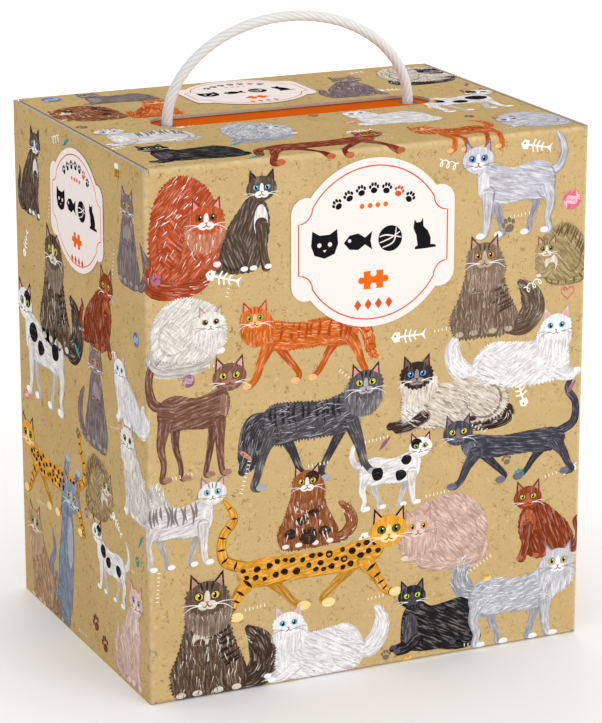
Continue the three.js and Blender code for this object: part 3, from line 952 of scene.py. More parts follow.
def bars(pen, path, level, colour):
    # short dark bars across a tail or a leg
    line = curveThrough(pen.line(path), False, 8)
    for i in range(4, len(line) - 2, 4):
        u, v, width = line[i]
        du, dv = direction(line, i)
        reach = 0.42 * width
        bar = [(u + dv * reach, v - du * reach, 0.3), (u, v, width * 0.26),
               (u - dv * reach, v + du * reach, 0.3)]
        pen.drawing.ribbon(bar, level, colour, fur=0.3, steps=3, capped=False)


def brush(pen, path, level, colours):
    # long hairs along a tail
    line = curveThrough(pen.line(path), False, 8)
    reach, half = 0.07 * pen.unit, 0.16
    for _ in range(furStrokes["tail"]):
        i = pen.random.randrange(2, len(line) - 3)
        u, v, width = line[i]
        du, dv = direction(line, i, 2)
        shift = pen.share(-0.5, 0.5)
        u, v, lean = u - dv * width * shift, v + du * width * shift, shift * 0.7
        tip = (u + (du - dv * lean) * reach, v + (dv + du * lean) * reach)
        hair = [(u - half * dv, v + half * du), tip, (u + half * dv, v - half * du)]
        pen.drawing.add(hair, [[0, 1, 2]], level, pen.random.choice(colours))


def drawMarking(pen, body, shape, shade, marking):
    if marking == "stripes":
        back = curveThrough([pen.at(*p) for p in shape["back"]], False, 4)
        du, dv = shape["down"]
        for u, v in back[1:]:
            reach = pen.unit * pen.share(0.13, 0.26)
            bend = pen.share(-0.3, 0.3)
            middle = (u + (du + bend) * reach * 0.5 * pen.facing, v + dv * reach * 0.5)
            end = (u + du * reach * pen.facing, v + dv * reach)
            if inside(body, *middle) and inside(body, *end):
                stripe = [(u, v, 0.4), (*middle, 0.032 * pen.unit), (*end, 0.3)]
                pen.drawing.ribbon(stripe, 8, shade, fur=0.5, steps=4, capped=False)
    tries, size = markings.get(marking, (0, 0.0))
    turns, placed = (0, 1.05, 2.1, 3.14, 4.2, 5.2), []
    for _ in range(tries):
        radius = size * pen.unit * pen.share(0.7, 1.25)
        u, v = pen.somewhere(body)
        ring = [(u + radius * 1.25 * math.cos(a), v + radius * 1.1 * math.sin(a)) for a in turns]
        near = any(math.hypot(u - p, v - q) < radius + r + 0.45 for p, q, r in placed)
        if near or not all(inside(body, *p) for p in ring):
            continue
        placed.append((u, v, radius))
        wobble = [(u + radius * pen.share(0.75, 1.2) * math.cos(a),
                   v + radius * pen.share(0.7, 1.0) * math.sin(a)) for a in turns]
        pen.drawing.polygon(curveThrough(wobble, True, 3), 8, shade, fur=0.3, seed=pen.seed)
        if marking == "spots" and radius > 0.026 * pen.unit:     # the larger spots have an amber middle
            pen.oval((u, v), radius * 0.42, radius * 0.36, 9, (214, 134, 40), count=8)
        if marking == "patches" and len(placed) > 6:
            break


# small things between the cats; drawing them adds shapes to the print in millimetres
def drawPaw(drawing, u, v, size, colour, turn, level=3, count=14, fur=0.2):
    at = turned(u, v, turn, size)
    for x, y, rx, ry in ((0, -0.16, 0.30, 0.24), (-0.34, 0.14, 0.12, 0.16), (-0.13, 0.34, 0.12, 0.17),
                         (0.13, 0.34, 0.12, 0.17), (0.34, 0.14, 0.12, 0.16)):
        drawing.polygon(oval(at, x, y, rx, ry, count), level, colour, fur=fur)


def drawBone(drawing, u, v, size, turn):
    at = turned(u, v, turn, size)
    drawing.ribbon([(*at(-0.30, 0), 0.06 * size), (*at(0.38, 0), 0.05 * size)], 2, creamInk, steps=1)
    for x, reach in ((-0.12, 0.17), (0.02, 0.15), (0.16, 0.11)):
        rib = [(x + 0.05, reach), (x, 0), (x + 0.05, -reach)]
        drawing.ribbon([(*at(*p), 0.05 * size) for p in rib], 3, creamInk, steps=3)
    head = ((-0.52, 0), (-0.42, 0.14), (-0.26, 0.13), (-0.26, -0.13), (-0.42, -0.14))
    drawing.polygon([at(*p) for p in head], 2, creamInk)
    drawing.polygon(circle(*at(-0.40, 0.03), 0.03 * size, 8), 4, (120, 100, 80))
    drawing.polygon([at(*p) for p in ((0.36, 0), (0.52, 0.16), (0.47, 0), (0.52, -0.16))], 2, creamInk)


def drawYarn(drawing, u, v, radius, colour, shade):
    drawing.polygon(circle(u, v, radius, 24), 2, colour, fur=0.6, angle=0.6)
    for k in range(-2, 3):
        turns = (0.5 + k * 0.28, 0.5 + k * 0.28 + math.pi - 0.5 * k)
        ends = [(u + radius * math.cos(a) * 0.95, v + radius * math.sin(a) * 0.95) for a in turns]
        middle = (u + 0.22 * k * radius, v - 0.18 * k * radius)
        thread = [(*ends[0], 0.1 * radius), (*middle, 0.16 * radius), (*ends[1], 0.1 * radius)]
        drawing.ribbon(thread, 3, shade, steps=5)


def drawFeather(drawing, u, v, length, turn, colour, shade):
    at = turned(u, v, turn, length)
    shape = [(-0.5, 0), (-0.2, 0.14), (0.2, 0.13), (0.5, 0.02), (0.2, -0.08), (-0.2, -0.11)]
    points = curveThrough([at(*p) for p in shape], True, 5)
    drawing.polygon(points, 2, colour, fur=0.7, angle=turn + 0.7)
    drawing.ribbon([(*at(-0.6, 0), 0.3), (*at(0.45, 0), 0.2)], 3, shade, steps=1)


def drawHeart(drawing, u, v, size, colour):
    path, at = [], turned(u, v, 0.0, size * 0.032)
    for i in range(25):
        t = 2 * math.pi * i / 24
        y = 13 * math.cos(t) - 5 * math.cos(2 * t) - 2 * math.cos(3 * t) - math.cos(4 * t)
        path.append((*at(16 * math.sin(t) ** 3, y), 0.5))
    drawing.ribbon(path, 2, colour, steps=1, capped=False)


def drawCurls(drawing, u, v, size, turn):
    # a light pen curl
    path, at = [], turned(u, v, turn, size)
    for i in range(31):
        t = i / 30
        x, y = t - 0.5 + 0.13 * math.sin(t * 6 * math.pi), 0.17 * math.cos(t * 6 * math.pi)
        path.append((*at(x, y), 0.45))
    drawing.ribbon(path, 2, (252, 247, 238), steps=1)


def drawDashes(drawing, u, v, count, turn, seed):
    # a short row of little light ticks
    draw, at = random.Random(seed), turned(u, v, turn)
    for i in range(count):
        x, lean = (i - (count - 1) / 2) * 1.7, draw.uniform(-0.5, 0.5)
        high = draw.uniform(0.6, 1.0)
        tick = [(*at(x + lean * 0.3 * high, k * high), 0.42) for k in (-0.8, 0.8)]
        drawing.ribbon(tick, 2, (246, 236, 214), steps=1, capped=False)


def drawBee(drawing, u, v, size):
    at = turned(u, v, 0.0, size)
    drawing.polygon(oval(at, 0, 0, 0.5, 0.32, 16), 2, (238, 178, 40), fur=0.3)
    for x in (-0.18, 0.08, 0.32):
        stripe = [(*at(x, y), 0.12 * size) for y in (0.26, -0.26)]
        drawing.ribbon(stripe, 3, (40, 32, 28), steps=1, capped=False)
    for x in (-0.12, 0.16):
        drawing.polygon(oval(at, x, 0.42, 0.2, 0.2, 12), 3, (236, 240, 246))


def jigsawOutline(width, height, tabs, knob, offset, count=7):
    # a piece with a round knob (1), a socket (-1) or a straight side (0) on each of its four sides
    corners = [(sx * width / 2, sy * height / 2) for sx, sy in ((-1, -1), (1, -1), (1, 1), (-1, 1))]
    points, start = [], math.asin(offset / knob)
    for i, tab in enumerate(tabs):
        (ax, ay), (bx, by) = corners[i], corners[(i + 1) % 4]
        length = math.hypot(bx - ax, by - ay)
        tx, ty = (bx - ax) / length, (by - ay) / length
        points.append((ax, ay))
        for k in range(count + 1) if tab else ():
            a = math.pi + start - (math.pi + 2 * start) * k / count
            along, out = length / 2 + knob * math.cos(a), tab * (offset + knob * math.sin(a))
            points.append((ax + tx * along + ty * out, ay + ty * along - tx * out))
    return points


def labelOutline(u, v, width, height, inset=0.0):
    # an arched label with a rounded lobe at each corner
    half, rise = width / 2 - inset, height / 2 - inset
    lobe, shoulder = 0.09 * width, 0.385 * width
    arch = (shoulder ** 2 + (0.2 * height) ** 2) / (0.4 * height) - inset
    spread = math.asin(min(1.0, (shoulder - inset * 0.3) / arch))
    quarter = []
    for i in range(13):
        a = spread * i / 12
        quarter.append((arch * math.sin(a), rise - arch * (1 - math.cos(a))))
    endX, endY = quarter[-1]
    if inset:                                    # the line turns its corners inwards
        hollow = half - endX
        quarter += [(endX + hollow * (1 - math.cos(b)), endY - hollow * math.sin(b))
                    for b in [math.pi / 2 * i / 6 for i in range(1, 7)]]
    else:
        quarter += [(half - lobe + lobe * math.cos(a), endY - 0.95 * lobe + lobe * math.sin(a))
                    for a in [math.radians(100 - 100 * i / 8) for i in range(9)]]
    right = quarter + [(x, -y) for x, y in reversed(quarter)]
    return [(u + x, v + y) for x, y in right] + [(u - x, v + y) for x, y in reversed(right[1:-1])]


label = {"paper": (243, 231, 225), "line": (222, 84, 50), "black": (28, 26, 28), "orange": (238, 104, 28),
         "designWidth": 72, "inset": 3.2}


def drawLabel(drawing, u, v, width, height):
    # everything inside the line is measured on a label of the design width
    scale = width / label["designWidth"]
    at = turned(u, v, 0.0, scale)
    drawing.polygon(labelOutline(u, v, width, height), 22, label["paper"])
    line = labelOutline(u, v, width, height, inset=label["inset"] * scale)
    drawing.ribbon([(*p, 0.55 * scale) for p in line + line[:1]], 23, label["line"], steps=1, capped=False)
    for i in range(7):                           # an arch of paws in place of a name
        a = math.radians(126 - 12 * i)
        place = at(27 * math.cos(a), 27 * math.sin(a) - 5)
        tone = label["line"] if i == 5 else label["black"]
        drawPaw(drawing, *place, 5.0 * scale, tone, a - math.pi / 2, 23, 12, 0.0)
    for x in (-5.2, -1.7, 1.7, 5.2):
        drawing.polygon(oval(at, x, 15.2, 1.05, 1.05, 14), 23, label["orange"])
    drawIcons(drawing, turned(u, v + scale, 0.0, scale), scale)
    piece = jigsawOutline(8.6, 7.4, (-1, 1, -1, 1), 1.45, 1.0)
    drawing.polygon([at(x, y - 15.2) for x, y in piece], 23, label["orange"])
    for i in range(4):                           # four lozenges in place of a number
        lozenge = ((1.6, 0), (0, 2.3), (-1.6, 0), (0, -2.3))
        drawing.polygon([at((i - 1.5) * 4.6 + a, b - 25.2) for a, b in lozenge], 23, label["line"])


def drawIcons(drawing, at, scale):
    # four plain black shapes in a row: a cat's head, a fish, a ball of wool and a sitting cat
    def put(points, x, level=23, tone=label["black"]):
        drawing.polygon([at(x + a, b) for a, b in points], level, tone)

    headPlace, fishPlace, ballPlace, catPlace, paper = -21.5, -7.0, 7.3, 21.5, label["paper"]
    put([(-5.4, 6.2), (-2.2, 4.2), (2.2, 4.2), (5.4, 6.2), (5.9, 0.2), (4.4, -3.8), (0, -5.4), (-4.4, -3.8),
         (-5.9, 0.2)], headPlace)
    for side in (1, -1):
        put(circle(side * 2.3, 0.2, 0.95, 10), headPlace, 24, paper)
    put([(-0.8, -1.9), (0.8, -1.9), (0, -2.9)], headPlace, 24, paper)
    put([(-6.2, 0), (-3.6, 2.9), (0.2, 3.4), (3.2, 1.4), (6.4, 3.8), (5.6, 0), (6.4, -3.8), (3.2, -1.4),
         (0.2, -3.4),
         (-3.6, -2.9)], fishPlace)
    put(circle(-3.6, 0.7, 0.75, 8), fishPlace, 24, paper)
    put(circle(0, 0, 5.3, 28), ballPlace)
    for k in (-1, 0, 1):
        start, end = (at(ballPlace + 4.9 * math.cos(a), 4.9 * math.sin(a))
                      for a in (0.5 + 0.5 * k, math.pi + 0.3 + 0.5 * k))
        thread = [(*start, 0.4 * scale), (*at(ballPlace + 1.5 * k, -1.5 * k), 0.6 * scale),
                  (*end, 0.4 * scale)]
        drawing.ribbon(thread, 24, paper, steps=5)
    put([(-3.4, 6.6), (-2.4, 5.2), (-0.8, 5.3), (0.4, 6.8), (0.6, 3.4), (2.6, 1.4), (3.9, -1.6), (3.8, -4.2),
         (6.0, -4.6), (6.4, -5.6), (1.6, -5.8), (-3.2, -5.8), (-3.2, -4.8), (-2.0, -4.2), (-2.6, 0.0),
         (-3.9, 3.0)],
        catPlace)


# each cat: place, width, height, pose, coat, facing (1 looks left)
frontCats = [
    (-80, 196, 32, 45, "curl", "redWhite", -1), (-53, 196, 30, 42, "sit", "dusky", -1),
    (63, 198, 46, 42, "stand", "lilacWhite", 1), (50, 158, 39, 42, "front", "brownLong", 1),
    (85, 169, 25, 26, "curl", "olive", 1), (-79, 155, 34, 28, "curl", "cream", -1),
    (-29, 144, 58, 35, "walk", "ginger", 1), (70, 129, 50, 31, "plume", "snow", -1),
    (-77, 118, 40, 52, "slim", "slenderBrown", -1), (-26, 107, 59, 48, "walk", "darkGrey", -1),
    (35, 116, 54, 31, "lie", "creamDark", 1), (65, 95, 63, 46, "prowl", "blueBlack", 1),
    (9, 84, 36, 31, "stand", "spottedWhite", -1), (-29, 75, 34, 35, "front", "tortoise", 1),
    (-84, 75, 38, 38, "stand", "silver", -1), (32, 57, 43, 31, "curl", "rose", 1),
    (78, 54, 37, 35, "sit", "mahogany", 1), (-27, 57, 85, 54, "prowl", "leopard", -1),
    (-73, 27, 42, 54, "front", "brownTabby", 1), (-25, 17, 44, 33, "plume", "snow", 1),
    (30, 20, 40, 33, "lie", "black", 1), (68, 21, 54, 42, "stand", "mist", -1),
]
leftCats = [
    (-52, 194, 31, 40, "sit", "dusky", -1), (57, 190, 30, 40, "front", "mauve", 1),
    (-28, 149, 46, 52, "front", "brownTabby", 1), (26, 153, 44, 36, "sit", "mahogany", -1),
    (-43, 118, 60, 50, "stand", "spottedWhite", 1), (19, 115, 32, 46, "front", "mauve", -1),
    (52, 125, 38, 27, "sit", "snow", 1), (-33, 72, 78, 50, "prowl", "leopard", 1),
    (59, 94, 37, 40, "sit", "cream", 1), (21, 77, 33, 27, "curl", "olive", -1),
    (-17, 36, 46, 84, "reach", "blueGrey", -1), (-53, 22, 40, 46, "sit", "tan", 1),
    (32, 46, 41, 30, "stand", "spottedWhite", 1), (55, 25, 34, 48, "sit", "rosyBare", -1),
]
lidCats = [
    (-57, 61, 32, 24, "lie", "mauve", 1), (-81, 35, 30, 30, "curl", "tortoise", 1),
    (-49, 32, 28, 34, "sit", "ginger", -1), (-74, -14, 38, 34, "lie", "silver", 1),
    (-69, -50, 40, 32, "lie", "black", 1), (-29, -26, 30, 33, "curl", "mist", -1),
    (-16, -63, 62, 30, "walk", "mahogany", -1), (44, 40, 32, 44, "sit", "mauve", -1),
    (83, 53, 36, 36, "curl", "creamDark", -1), (31, -22, 34, 30, "lie", "snow", 1),
    (73, -8, 42, 40, "stand", "spottedWhite", -1), (45, -63, 34, 34, "stand", "ginger", 1),
    (81, -52, 30, 29, "curl", "lilacWhite", 1),
]
backCats = [
    (-70, 178, 44, 46, "front", "mist", 1), (-14, 184, 50, 38, "walk", "mahogany", -1),
    (50, 182, 52, 40, "stand", "spottedWhite", 1), (-66, 122, 48, 50, "stand", "darkGrey", -1),
    (-8, 126, 40, 44, "sit", "ginger", 1), (58, 128, 56, 34, "lie", "creamDark", 1),
    (-58, 70, 66, 44, "walk", "leopard", 1), (16, 76, 36, 42, "front", "brownLong", -1),
    (70, 74, 42, 44, "sit", "blueBlack", -1), (-72, 22, 40, 36, "curl", "rose", 1),
    (-20, 24, 46, 38, "stand", "silver", -1), (32, 24, 42, 32, "lie", "black", -1),
    (78, 24, 34, 42, "front", "tan", 1),
]
rightCats = [
    (-50, 190, 34, 42, "front", "tortoise", 1), (52, 188, 36, 42, "sit", "slenderBrown", -1),
    (-46, 134, 46, 44, "stand", "mist", 1), (8, 140, 38, 34, "curl", "cream", -1),
    (54, 132, 36, 44, "sit", "black", 1),
    (-40, 82, 56, 42, "walk", "ginger", -1), (24, 84, 40, 44, "front", "darkGrey", 1),
    (60, 84, 26, 30, "curl", "olive", 1), (-52, 28, 36, 46, "sit", "mauve", 1),
    (-4, 28, 48, 38, "stand", "lilacWhite", -1),
    (50, 28, 46, 36, "lie", "redWhite", 1),
]

# inks of the small things; wool has a colour and a shade, and so has a feather
mauveInk, stoneInk, tealInk = (168, 112, 138), (128, 112, 96), (60, 150, 150)
creamInk, brownInk = (252, 246, 236), (120, 72, 48)
pinks, blues = ((232, 120, 140), (250, 190, 200)), ((96, 126, 176), (160, 184, 214))
golds, mauves = ((226, 168, 60), (250, 214, 130)), ((150, 106, 130), (196, 160, 178))
tealFeather, seaFeather = ((88, 170, 190), (40, 110, 130)), ((88, 170, 180), (40, 110, 120))
mauveFeather, rustFeather = (mauveInk, (120, 70, 96)), ((226, 150, 120), (170, 96, 70))


def leftFace(u):
    return u - sideStart - (halfDepth - fold)     # from the middle of the left wall, front edge positive


def rightFace(u):
    return u + sideStart + (halfDepth - fold)


def backFace(u):
    return u + backStart + flatHalf               # runs on from the right wall


def lidFace(v):
    return v + lidStart + (halfDepth - fold)


def drawSmallThings(drawing, shiftU, shiftV, bones, paws, yarns, feathers, curls, dashes):
    for u, v, size, turn in bones:
        drawBone(drawing, shiftU(u), shiftV(v), size, turn)
    for u, v, size, turn, colour in paws:
        drawPaw(drawing, shiftU(u), shiftV(v), size, colour, turn)
    for draw, things in ((drawYarn, yarns), (drawFeather, feathers), (drawCurls, curls)):
        for u, v, *rest in things:
            draw(drawing, shiftU(u), shiftV(v), *rest)
    for i, (u, v, count, turn) in enumerate(dashes):
        drawDashes(drawing, shiftU(u), shiftV(v), count, turn, i)


def same(value):
    return value


printSheet = Drawing()
for cats, shiftU, shiftV in ((frontCats, same, same), (leftCats, leftFace, same),
                             (rightCats, rightFace, same),
                             (backCats, backFace, same), (lidCats, same, lidFace)):
    for number, (u, v, width, height, pose, coatName, facing) in enumerate(cats):
        seed = number * 7 + len(cats)
        drawCat(printSheet, shiftU(u), shiftV(v), width, height, pose, coatName, facing, seed)
drawLabel(printSheet, 0, 181.5, 72, 69)
drawLabel(printSheet, leftFace(1), 188, 60, 51)
drawLabel(printSheet, rightFace(0), 188, 60, 51)
drawLabel(printSheet, -2, lidFace(46), 56, 51)
drawSmallThings(
    printSheet, same, same,
    bones=[(-65, 174, 15, -0.3), (16, 141, 15, 0.0), (68, 111, 14, 1.9), (3, 58, 17, 0.1),
           (73, 214, 14, -0.2)],
    paws=[(61, 182, 7, 0.3, stoneInk), (62, 82, 5, 0.2, stoneInk), (7, 4.5, 5, 0.0, stoneInk),
          (-93, 176, 5, 0.4, mauveInk),
          (68, 75, 5, -0.3, tealInk)],
    yarns=[(90, 190, 4.2, *pinks), (-80, 134, 2.7, *mauves), (54, 31, 2.0, *golds),
           (17, 0.9, 2.3, *golds)],
    feathers=[(-49, 223, 8, 0.4, *tealFeather), (6, 97, 7, 0.8, *mauveFeather),
              (-56, 100, 7, -0.7, *rustFeather), (92, 110, 7, 0.9, *mauveFeather)],
    curls=[(33, 210, 9, -0.3), (73, 156, 9, 0.5), (92, 74, 8, 0.3)],
    dashes=[(-62, 172, 8, 1.3), (-66, 139, 7, 0.05), (-12, 128, 5, -0.7), (66, 186, 6, 0.1),
            (33, 142, 7, 0.1),
            (78, 118, 8, -0.1), (-56, 91, 9, 1.3), (48, 98, 6, -0.5), (84, 73, 5, 0.2), (-24, 92, 6, 0.05),
            (30, 72, 7, 0.1), (2, 99, 7, 0.1), (-84, 95, 7, 0.1), (-94, 50, 8, 1.5), (-52, 35, 6, 0.1),
            (2, 31, 5, 0.1), (50, 38, 8, 0.5), (95, 30, 8, 1.5), (48, 3, 6, 0.0)])
drawHeart(printSheet, 89, 151, 6, (226, 92, 110))
drawSmallThings(
    printSheet, leftFace, same,
    bones=[(0, 171, 13, 0.4), (-62, 160, 13, 1.2), (40, 66, 12, -0.6)],
    paws=[(14, 14, 8, 0.5, brownInk), (24, 8, 8, 0.3, brownInk), (-3, 92, 5, 0.2, stoneInk),
          (62, 57, 5, 0.0, tealInk)],
    yarns=[(64, 150, 3.0, *blues), (-65, 92, 2.6, *pinks), (5, 60, 2.2, *mauves)],
    feathers=[(-10, 214, 8, 0.5, *seaFeather), (-2, 128, 8, -0.7, *seaFeather),
              (66, 67, 7, 0.9, *seaFeather)],
    curls=[(-22, 213, 9, 0.3), (38, 137, 8, 0.2)],
    dashes=[(-32, 182, 6, 1.4), (41, 176, 7, 1.4), (5, 139, 6, 0.1), (-60, 140, 6, 0.1), (40, 107, 6, 0.2),
            (-50, 47, 8, 0.1),
            (12, 60, 6, 0.1), (54, 51, 6, 0.1), (-2, 4, 6, 0.0)])
drawBee(printSheet, leftFace(46), 213, 6.5)
drawSmallThings(
    printSheet, same, lidFace,
    bones=[(-50, -6, 13, 0.3), (57, 25, 13, -0.2), (8, -45, 12, 0.1)],
    paws=[(-91, 8, 6, 0.2, stoneInk), (62, -38, 5, 0.4, stoneInk), (4, -10, 5, 0.0, stoneInk)],
    yarns=[(-83, 66, 4.4, *blues), (57, -15, 4.0, *golds), (12, -28, 2.6, *pinks)],
    feathers=[(-46, -46, 8, 0.6, *tealFeather), (92, 22, 7, 1.0, *mauveFeather)],
    curls=[(-92, -34, 8, 0.5), (60, 66, 8, 0.2)],
    dashes=[(-50, 8, 6, 0.1), (10, -62, 6, 0.0), (64, -65, 6, 0.1), (-88, -68, 6, 0.0), (48, 64, 6, 0.1)])
for shift, bones in ((backFace, [(-40, 150, 15, 0.3), (28, 102, 14, -0.4), (-4, 48, 14, 0.2),
                                 (86, 100, 12, 1.2)]),
                     (rightFace, [(6, 168, 13, 0.2), (-8, 56, 14, -0.3), (62, 58, 12, 1.0)])):
    drawSmallThings(printSheet, shift, same, bones,
                    paws=[(34, 154, 6, 0.3, stoneInk), (-30, 98, 6, -0.2, tealInk),
                          (44, 52, 6, 0.5, stoneInk)],
                    yarns=[(22, 164, 3.4, *pinks), (-10, 104, 3.0, *blues), (54, 106, 2.6, *golds)],
                    feathers=[(-24, 206, 8, 0.5, *tealFeather), (20, 6, 8, 0.3, *mauveFeather)],
                    curls=[(24, 208, 9, 0.2), (-30, 50, 8, 0.4)],
                    dashes=[(-20, 160, 7, 0.1), (30, 112, 6, 0.1), (-60, 98, 7, 0.1), (10, 4, 6, 0.0)])
print("drawings ready:", len(printSheet.faces), "ink faces")


def inkMesh(name, drawing, window, cuts, place, hole=None):
    # the part of the print inside a window (lowest u, highest u, lowest v, highest v), wrapped on the board
    lowU, highU, lowV, highV = window
    chosen = []
    for face in drawing.faces:
        us, vs = [drawing.points[i][0] for i in face], [drawing.points[i][1] for i in face]
        if max(us) > lowU and min(us) < highU and max(vs) > lowV and min(vs) < highV:
            chosen.append(face)
    used = sorted({i for face in chosen for i in face})
    number = {old: new for new, old in enumerate(used)}
    faces = [[number[i] for i in face] for face in chosen]
    mesh = solid(name, [drawing.points[i] for i in used], faces, scale=1,
                 ink=("FLOAT_COLOR", [drawing.colours[i] for i in used]),
                 furRun=("FLOAT_VECTOR", [drawing.runs[i] for i in used]),
                 furAmount=("FLOAT", [drawing.furs[i] for i in used]))
    work = bmesh.new()
    work.from_mesh(mesh)
    for axis, value, keep in (("u", lowU, 1), ("u", highU, -1), ("v", lowV, 1), ("v", highV, -1)):
        cutAcross(work, axis, value, keep)
    for axis, value in cuts:
        if (lowU < value < highU) if axis == "u" else (lowV < value < highV):
            cutAcross(work, axis, value)
    for face in work.faces:
        face.normal_update()
        if face.normal.z < 0:
            face.normal_flip()
    if hole:
        dropInside(work, *hole)
    for vert in work.verts:
        vert.co = place(*vert.co) * mm
    work.to_mesh(mesh)
    work.free()
    mesh.update()
    return mesh


def dropInside(work, width, height, u, v):
    # no ink over the open slot
    lows, highs = (u - width / 2, v - height / 2), (u + width / 2, v + height / 2)
    for axis, low, high in (("u", lows[0], highs[0]), ("v", lows[1], highs[1])):
        cutAcross(work, axis, low)
        cutAcross(work, axis, high)
    gone = []
    for face in work.faces:
        middle = face.calc_center_median()
        if lows[0] < middle.x < highs[0] and lows[1] < middle.y < highs[1]:
            gone.append(face)
    bmesh.ops.delete(work, geom=gone, context="FACES")


printedBoard = [printedKraft, liner, cutEdge]


def boardPiece(name, body, outlines, cuts, place, node=None, rubbedAndHighlit=nearFold, over=None):
    mesh = boardMesh(name, outlines, cuts, place, rubbedAndHighlit)
    piece = newPiece(name, mesh, printedBoard, body, blendOver=over)
    if node:
        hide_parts(node)


def rectangle(lowU, highU, lowV, highV):
    return [(lowU, lowV), (highU, lowV), (highU, highV), (lowU, highV)]


def sidePoint(u, v, out):
    # the side walls stand straight down, and their corners follow the round of the lid's fold
    point = wallPoint(u, max(v, backLow.z + fold), out)
    point.z = v
    beyond = max(0.0, abs(point.y) - (halfDepth - fold))
    drop = fold - math.sqrt(max(0.0, fold * fold - min(beyond, fold) ** 2))
    point.z = min(max(point.z, drop), sideTop - drop)
    return point


sideTop, footLow = sideHigh.z, fold - foldRun
frontWindow = (-flatHalf, flatHalf, footLow, frontHigh.z)
backWindow = (backStart, backStart + 2 * flatHalf, footLow + backLow.z, backHigh.z)
boardPiece("front_panel", "carton", [rectangle(*frontWindow)], footCuts, wallPoint, "front_wall")
boardPiece("back_panel", "carton", [rectangle(*backWindow)], backFootCuts, wallPoint, "back_wall")
for side, word in ((-1, "left"), (1, "right")):
    sideCuts = [cut for cut in uprightCuts if cut[1] * side > 0]
    corners = rectangle(side * flatHalf, side * backStart, 0.0, sideTop)
    boardPiece(word + "_panel", "carton", [corners], sideCuts, sidePoint, word + "_wall")
for node in ("glue_flap", "bottom_outer_flap", "bottom_inner_flap"):
    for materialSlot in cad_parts[node].material_slots:
        materialSlot.material = liner if node == "glue_flap" else printedKraft
print("walls ready")


lids = {"slot": (126, 20, 3.0), "slotCorner": 9.6, "lidCorner": 4.5, "tabCorner": 8.0, "hole": 4.0,
        "holeReach": 55,
        "holeDepth": 5.5, "notch": (50, 69.5), "rearRoll": 48, "roll": 2.17, "play": 0.3, "stripSteps": 5}


def roundedBox(width, height, u, v, corner, count=6):
    points = []
    for i, (sx, sy) in enumerate(((1, 1), (-1, 1), (-1, -1), (1, -1))):
        for k in range(count + 1):
            a = math.pi / 2 * (i + k / count)
            points.append((u + sx * (width / 2 - corner) + corner * math.cos(a),
                           v + sy * (height / 2 - corner) + corner * math.sin(a)))
    return points


def addRoll(mesh, start, end, y, z, finish=0):
    # the round of board inside a fold
    work = bmesh.new()
    work.from_mesh(mesh)
    radius = lids["roll"] * mm
    made = bmesh.ops.create_cone(work, cap_ends=True, segments=28, radius1=radius, radius2=radius,
                                 depth=(end - start) * mm)
    for face in {face for vert in made["verts"] for face in vert.link_faces}:
        face.material_index = finish
    for vert in made["verts"]:
        x, across, along = vert.co.x, vert.co.y, vert.co.z
        vert.co = (along + (start + end) / 2 * mm, y * mm + x, z * mm - across)
    bmesh.ops.recalc_face_normals(work, faces=work.faces[:])
    work.to_mesh(mesh)
    work.free()


def foldStrip(name, low, high, level, hinge, place, body, y, rubbedAndHighlit=None):
    # the strip of board at a lid's hinge, between the carton and the lid
    cuts = [("v", level + (hinge - level) * i / lids["stripSteps"]) for i in range(1, lids["stripSteps"])]
    over = ("carton", body, (0, y * mm, level * mm), (0, y * mm, hinge * mm))
    boardPiece(name, None, [rectangle(low, high, level, hinge)], cuts, place, None, rubbedAndHighlit, over)
    return cuts, over


slotWidth, slotDepth, slotPlace = lids["slot"]
openSlot = (slotWidth, slotDepth, 0, lidFace(slotPlace))
lidOutline = [(-flatHalf, lidFold), (flatHalf, lidFold)]
lidOutline += roundedBox(2 * flatHalf, lidEnd - lidFold, 0, (lidFold + lidEnd) / 2, lids["lidCorner"])[:14]
slotOutline = roundedBox(*openSlot, lids["slotCorner"])
lidMesh = boardMesh("lid_panel", [lidOutline, slotOutline], lidCuts, lidPoint, nearFold)
addRoll(lidMesh, -flatHalf, flatHalf, fold - halfDepth, lidFold)
addRoll(lidMesh, -lids["rearRoll"], lids["rearRoll"], halfDepth - fold, lidFold)
lidPanel = newPiece("lid_panel", lidMesh, printedBoard, "outer_lid")
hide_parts("outer_lid")
stripCuts, overFront = foldStrip("front_fold_strip", -flatHalf, flatHalf, frontHigh.z, lidFold, lidPoint,
                                 "outer_lid",
                                 -halfDepth, nearFold)

tabRound = lids["tabCorner"]
tabOutline = [(tabHigh.x, tabHigh.z), (tabLow.x, tabHigh.z)]
for x, start in ((tabLow.x + tabRound, math.pi), (tabHigh.x - tabRound, 1.5 * math.pi)):
    turns = [start + math.pi / 2 * k / 8 for k in range(9)]
    tabOutline += [(x + tabRound * math.cos(a), tabLow.z + tabRound + tabRound * math.sin(a)) for a in turns]
boardPiece("tuck_flap", "tuck_tab", [tabOutline], [], lambda u, v, out: Vector((u, tabHigh.y + out, v)),
           "tuck_tab", None)

notchHalf, notchStart = lids["notch"]
innerRear, innerRoll, innerHalf = halfDepth - fold, innerHigh.z - fold, flatHalf - lids["play"]
innerOutline = [(-innerHalf, innerLow.y), (innerHalf, innerLow.y), (innerHalf, innerRear),
                (notchHalf, innerRear),
                (notchHalf, notchStart), (-notchHalf, notchStart), (-notchHalf, innerRear),
                (-innerHalf, innerRear)]
innerHoles = [circle(side * lids["holeReach"], lids["holeDepth"], lids["hole"], 32) for side in (-1, 1)]
innerMesh = boardMesh("inner_lid_panel", [innerOutline, *innerHoles], [],
                      lambda u, v, out: Vector((u, v, innerHigh.z + out)))
for start, end in ((-innerHalf, -notchHalf), (notchHalf, innerHalf)):
    addRoll(innerMesh, start, end, innerRear, innerRoll, 3)
innerFinishes = [orangePrint, liner, cutEdge, printedKraft]
innerLid = newPiece("inner_lid_panel", innerMesh, innerFinishes, "inner_lid")
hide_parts("inner_lid")
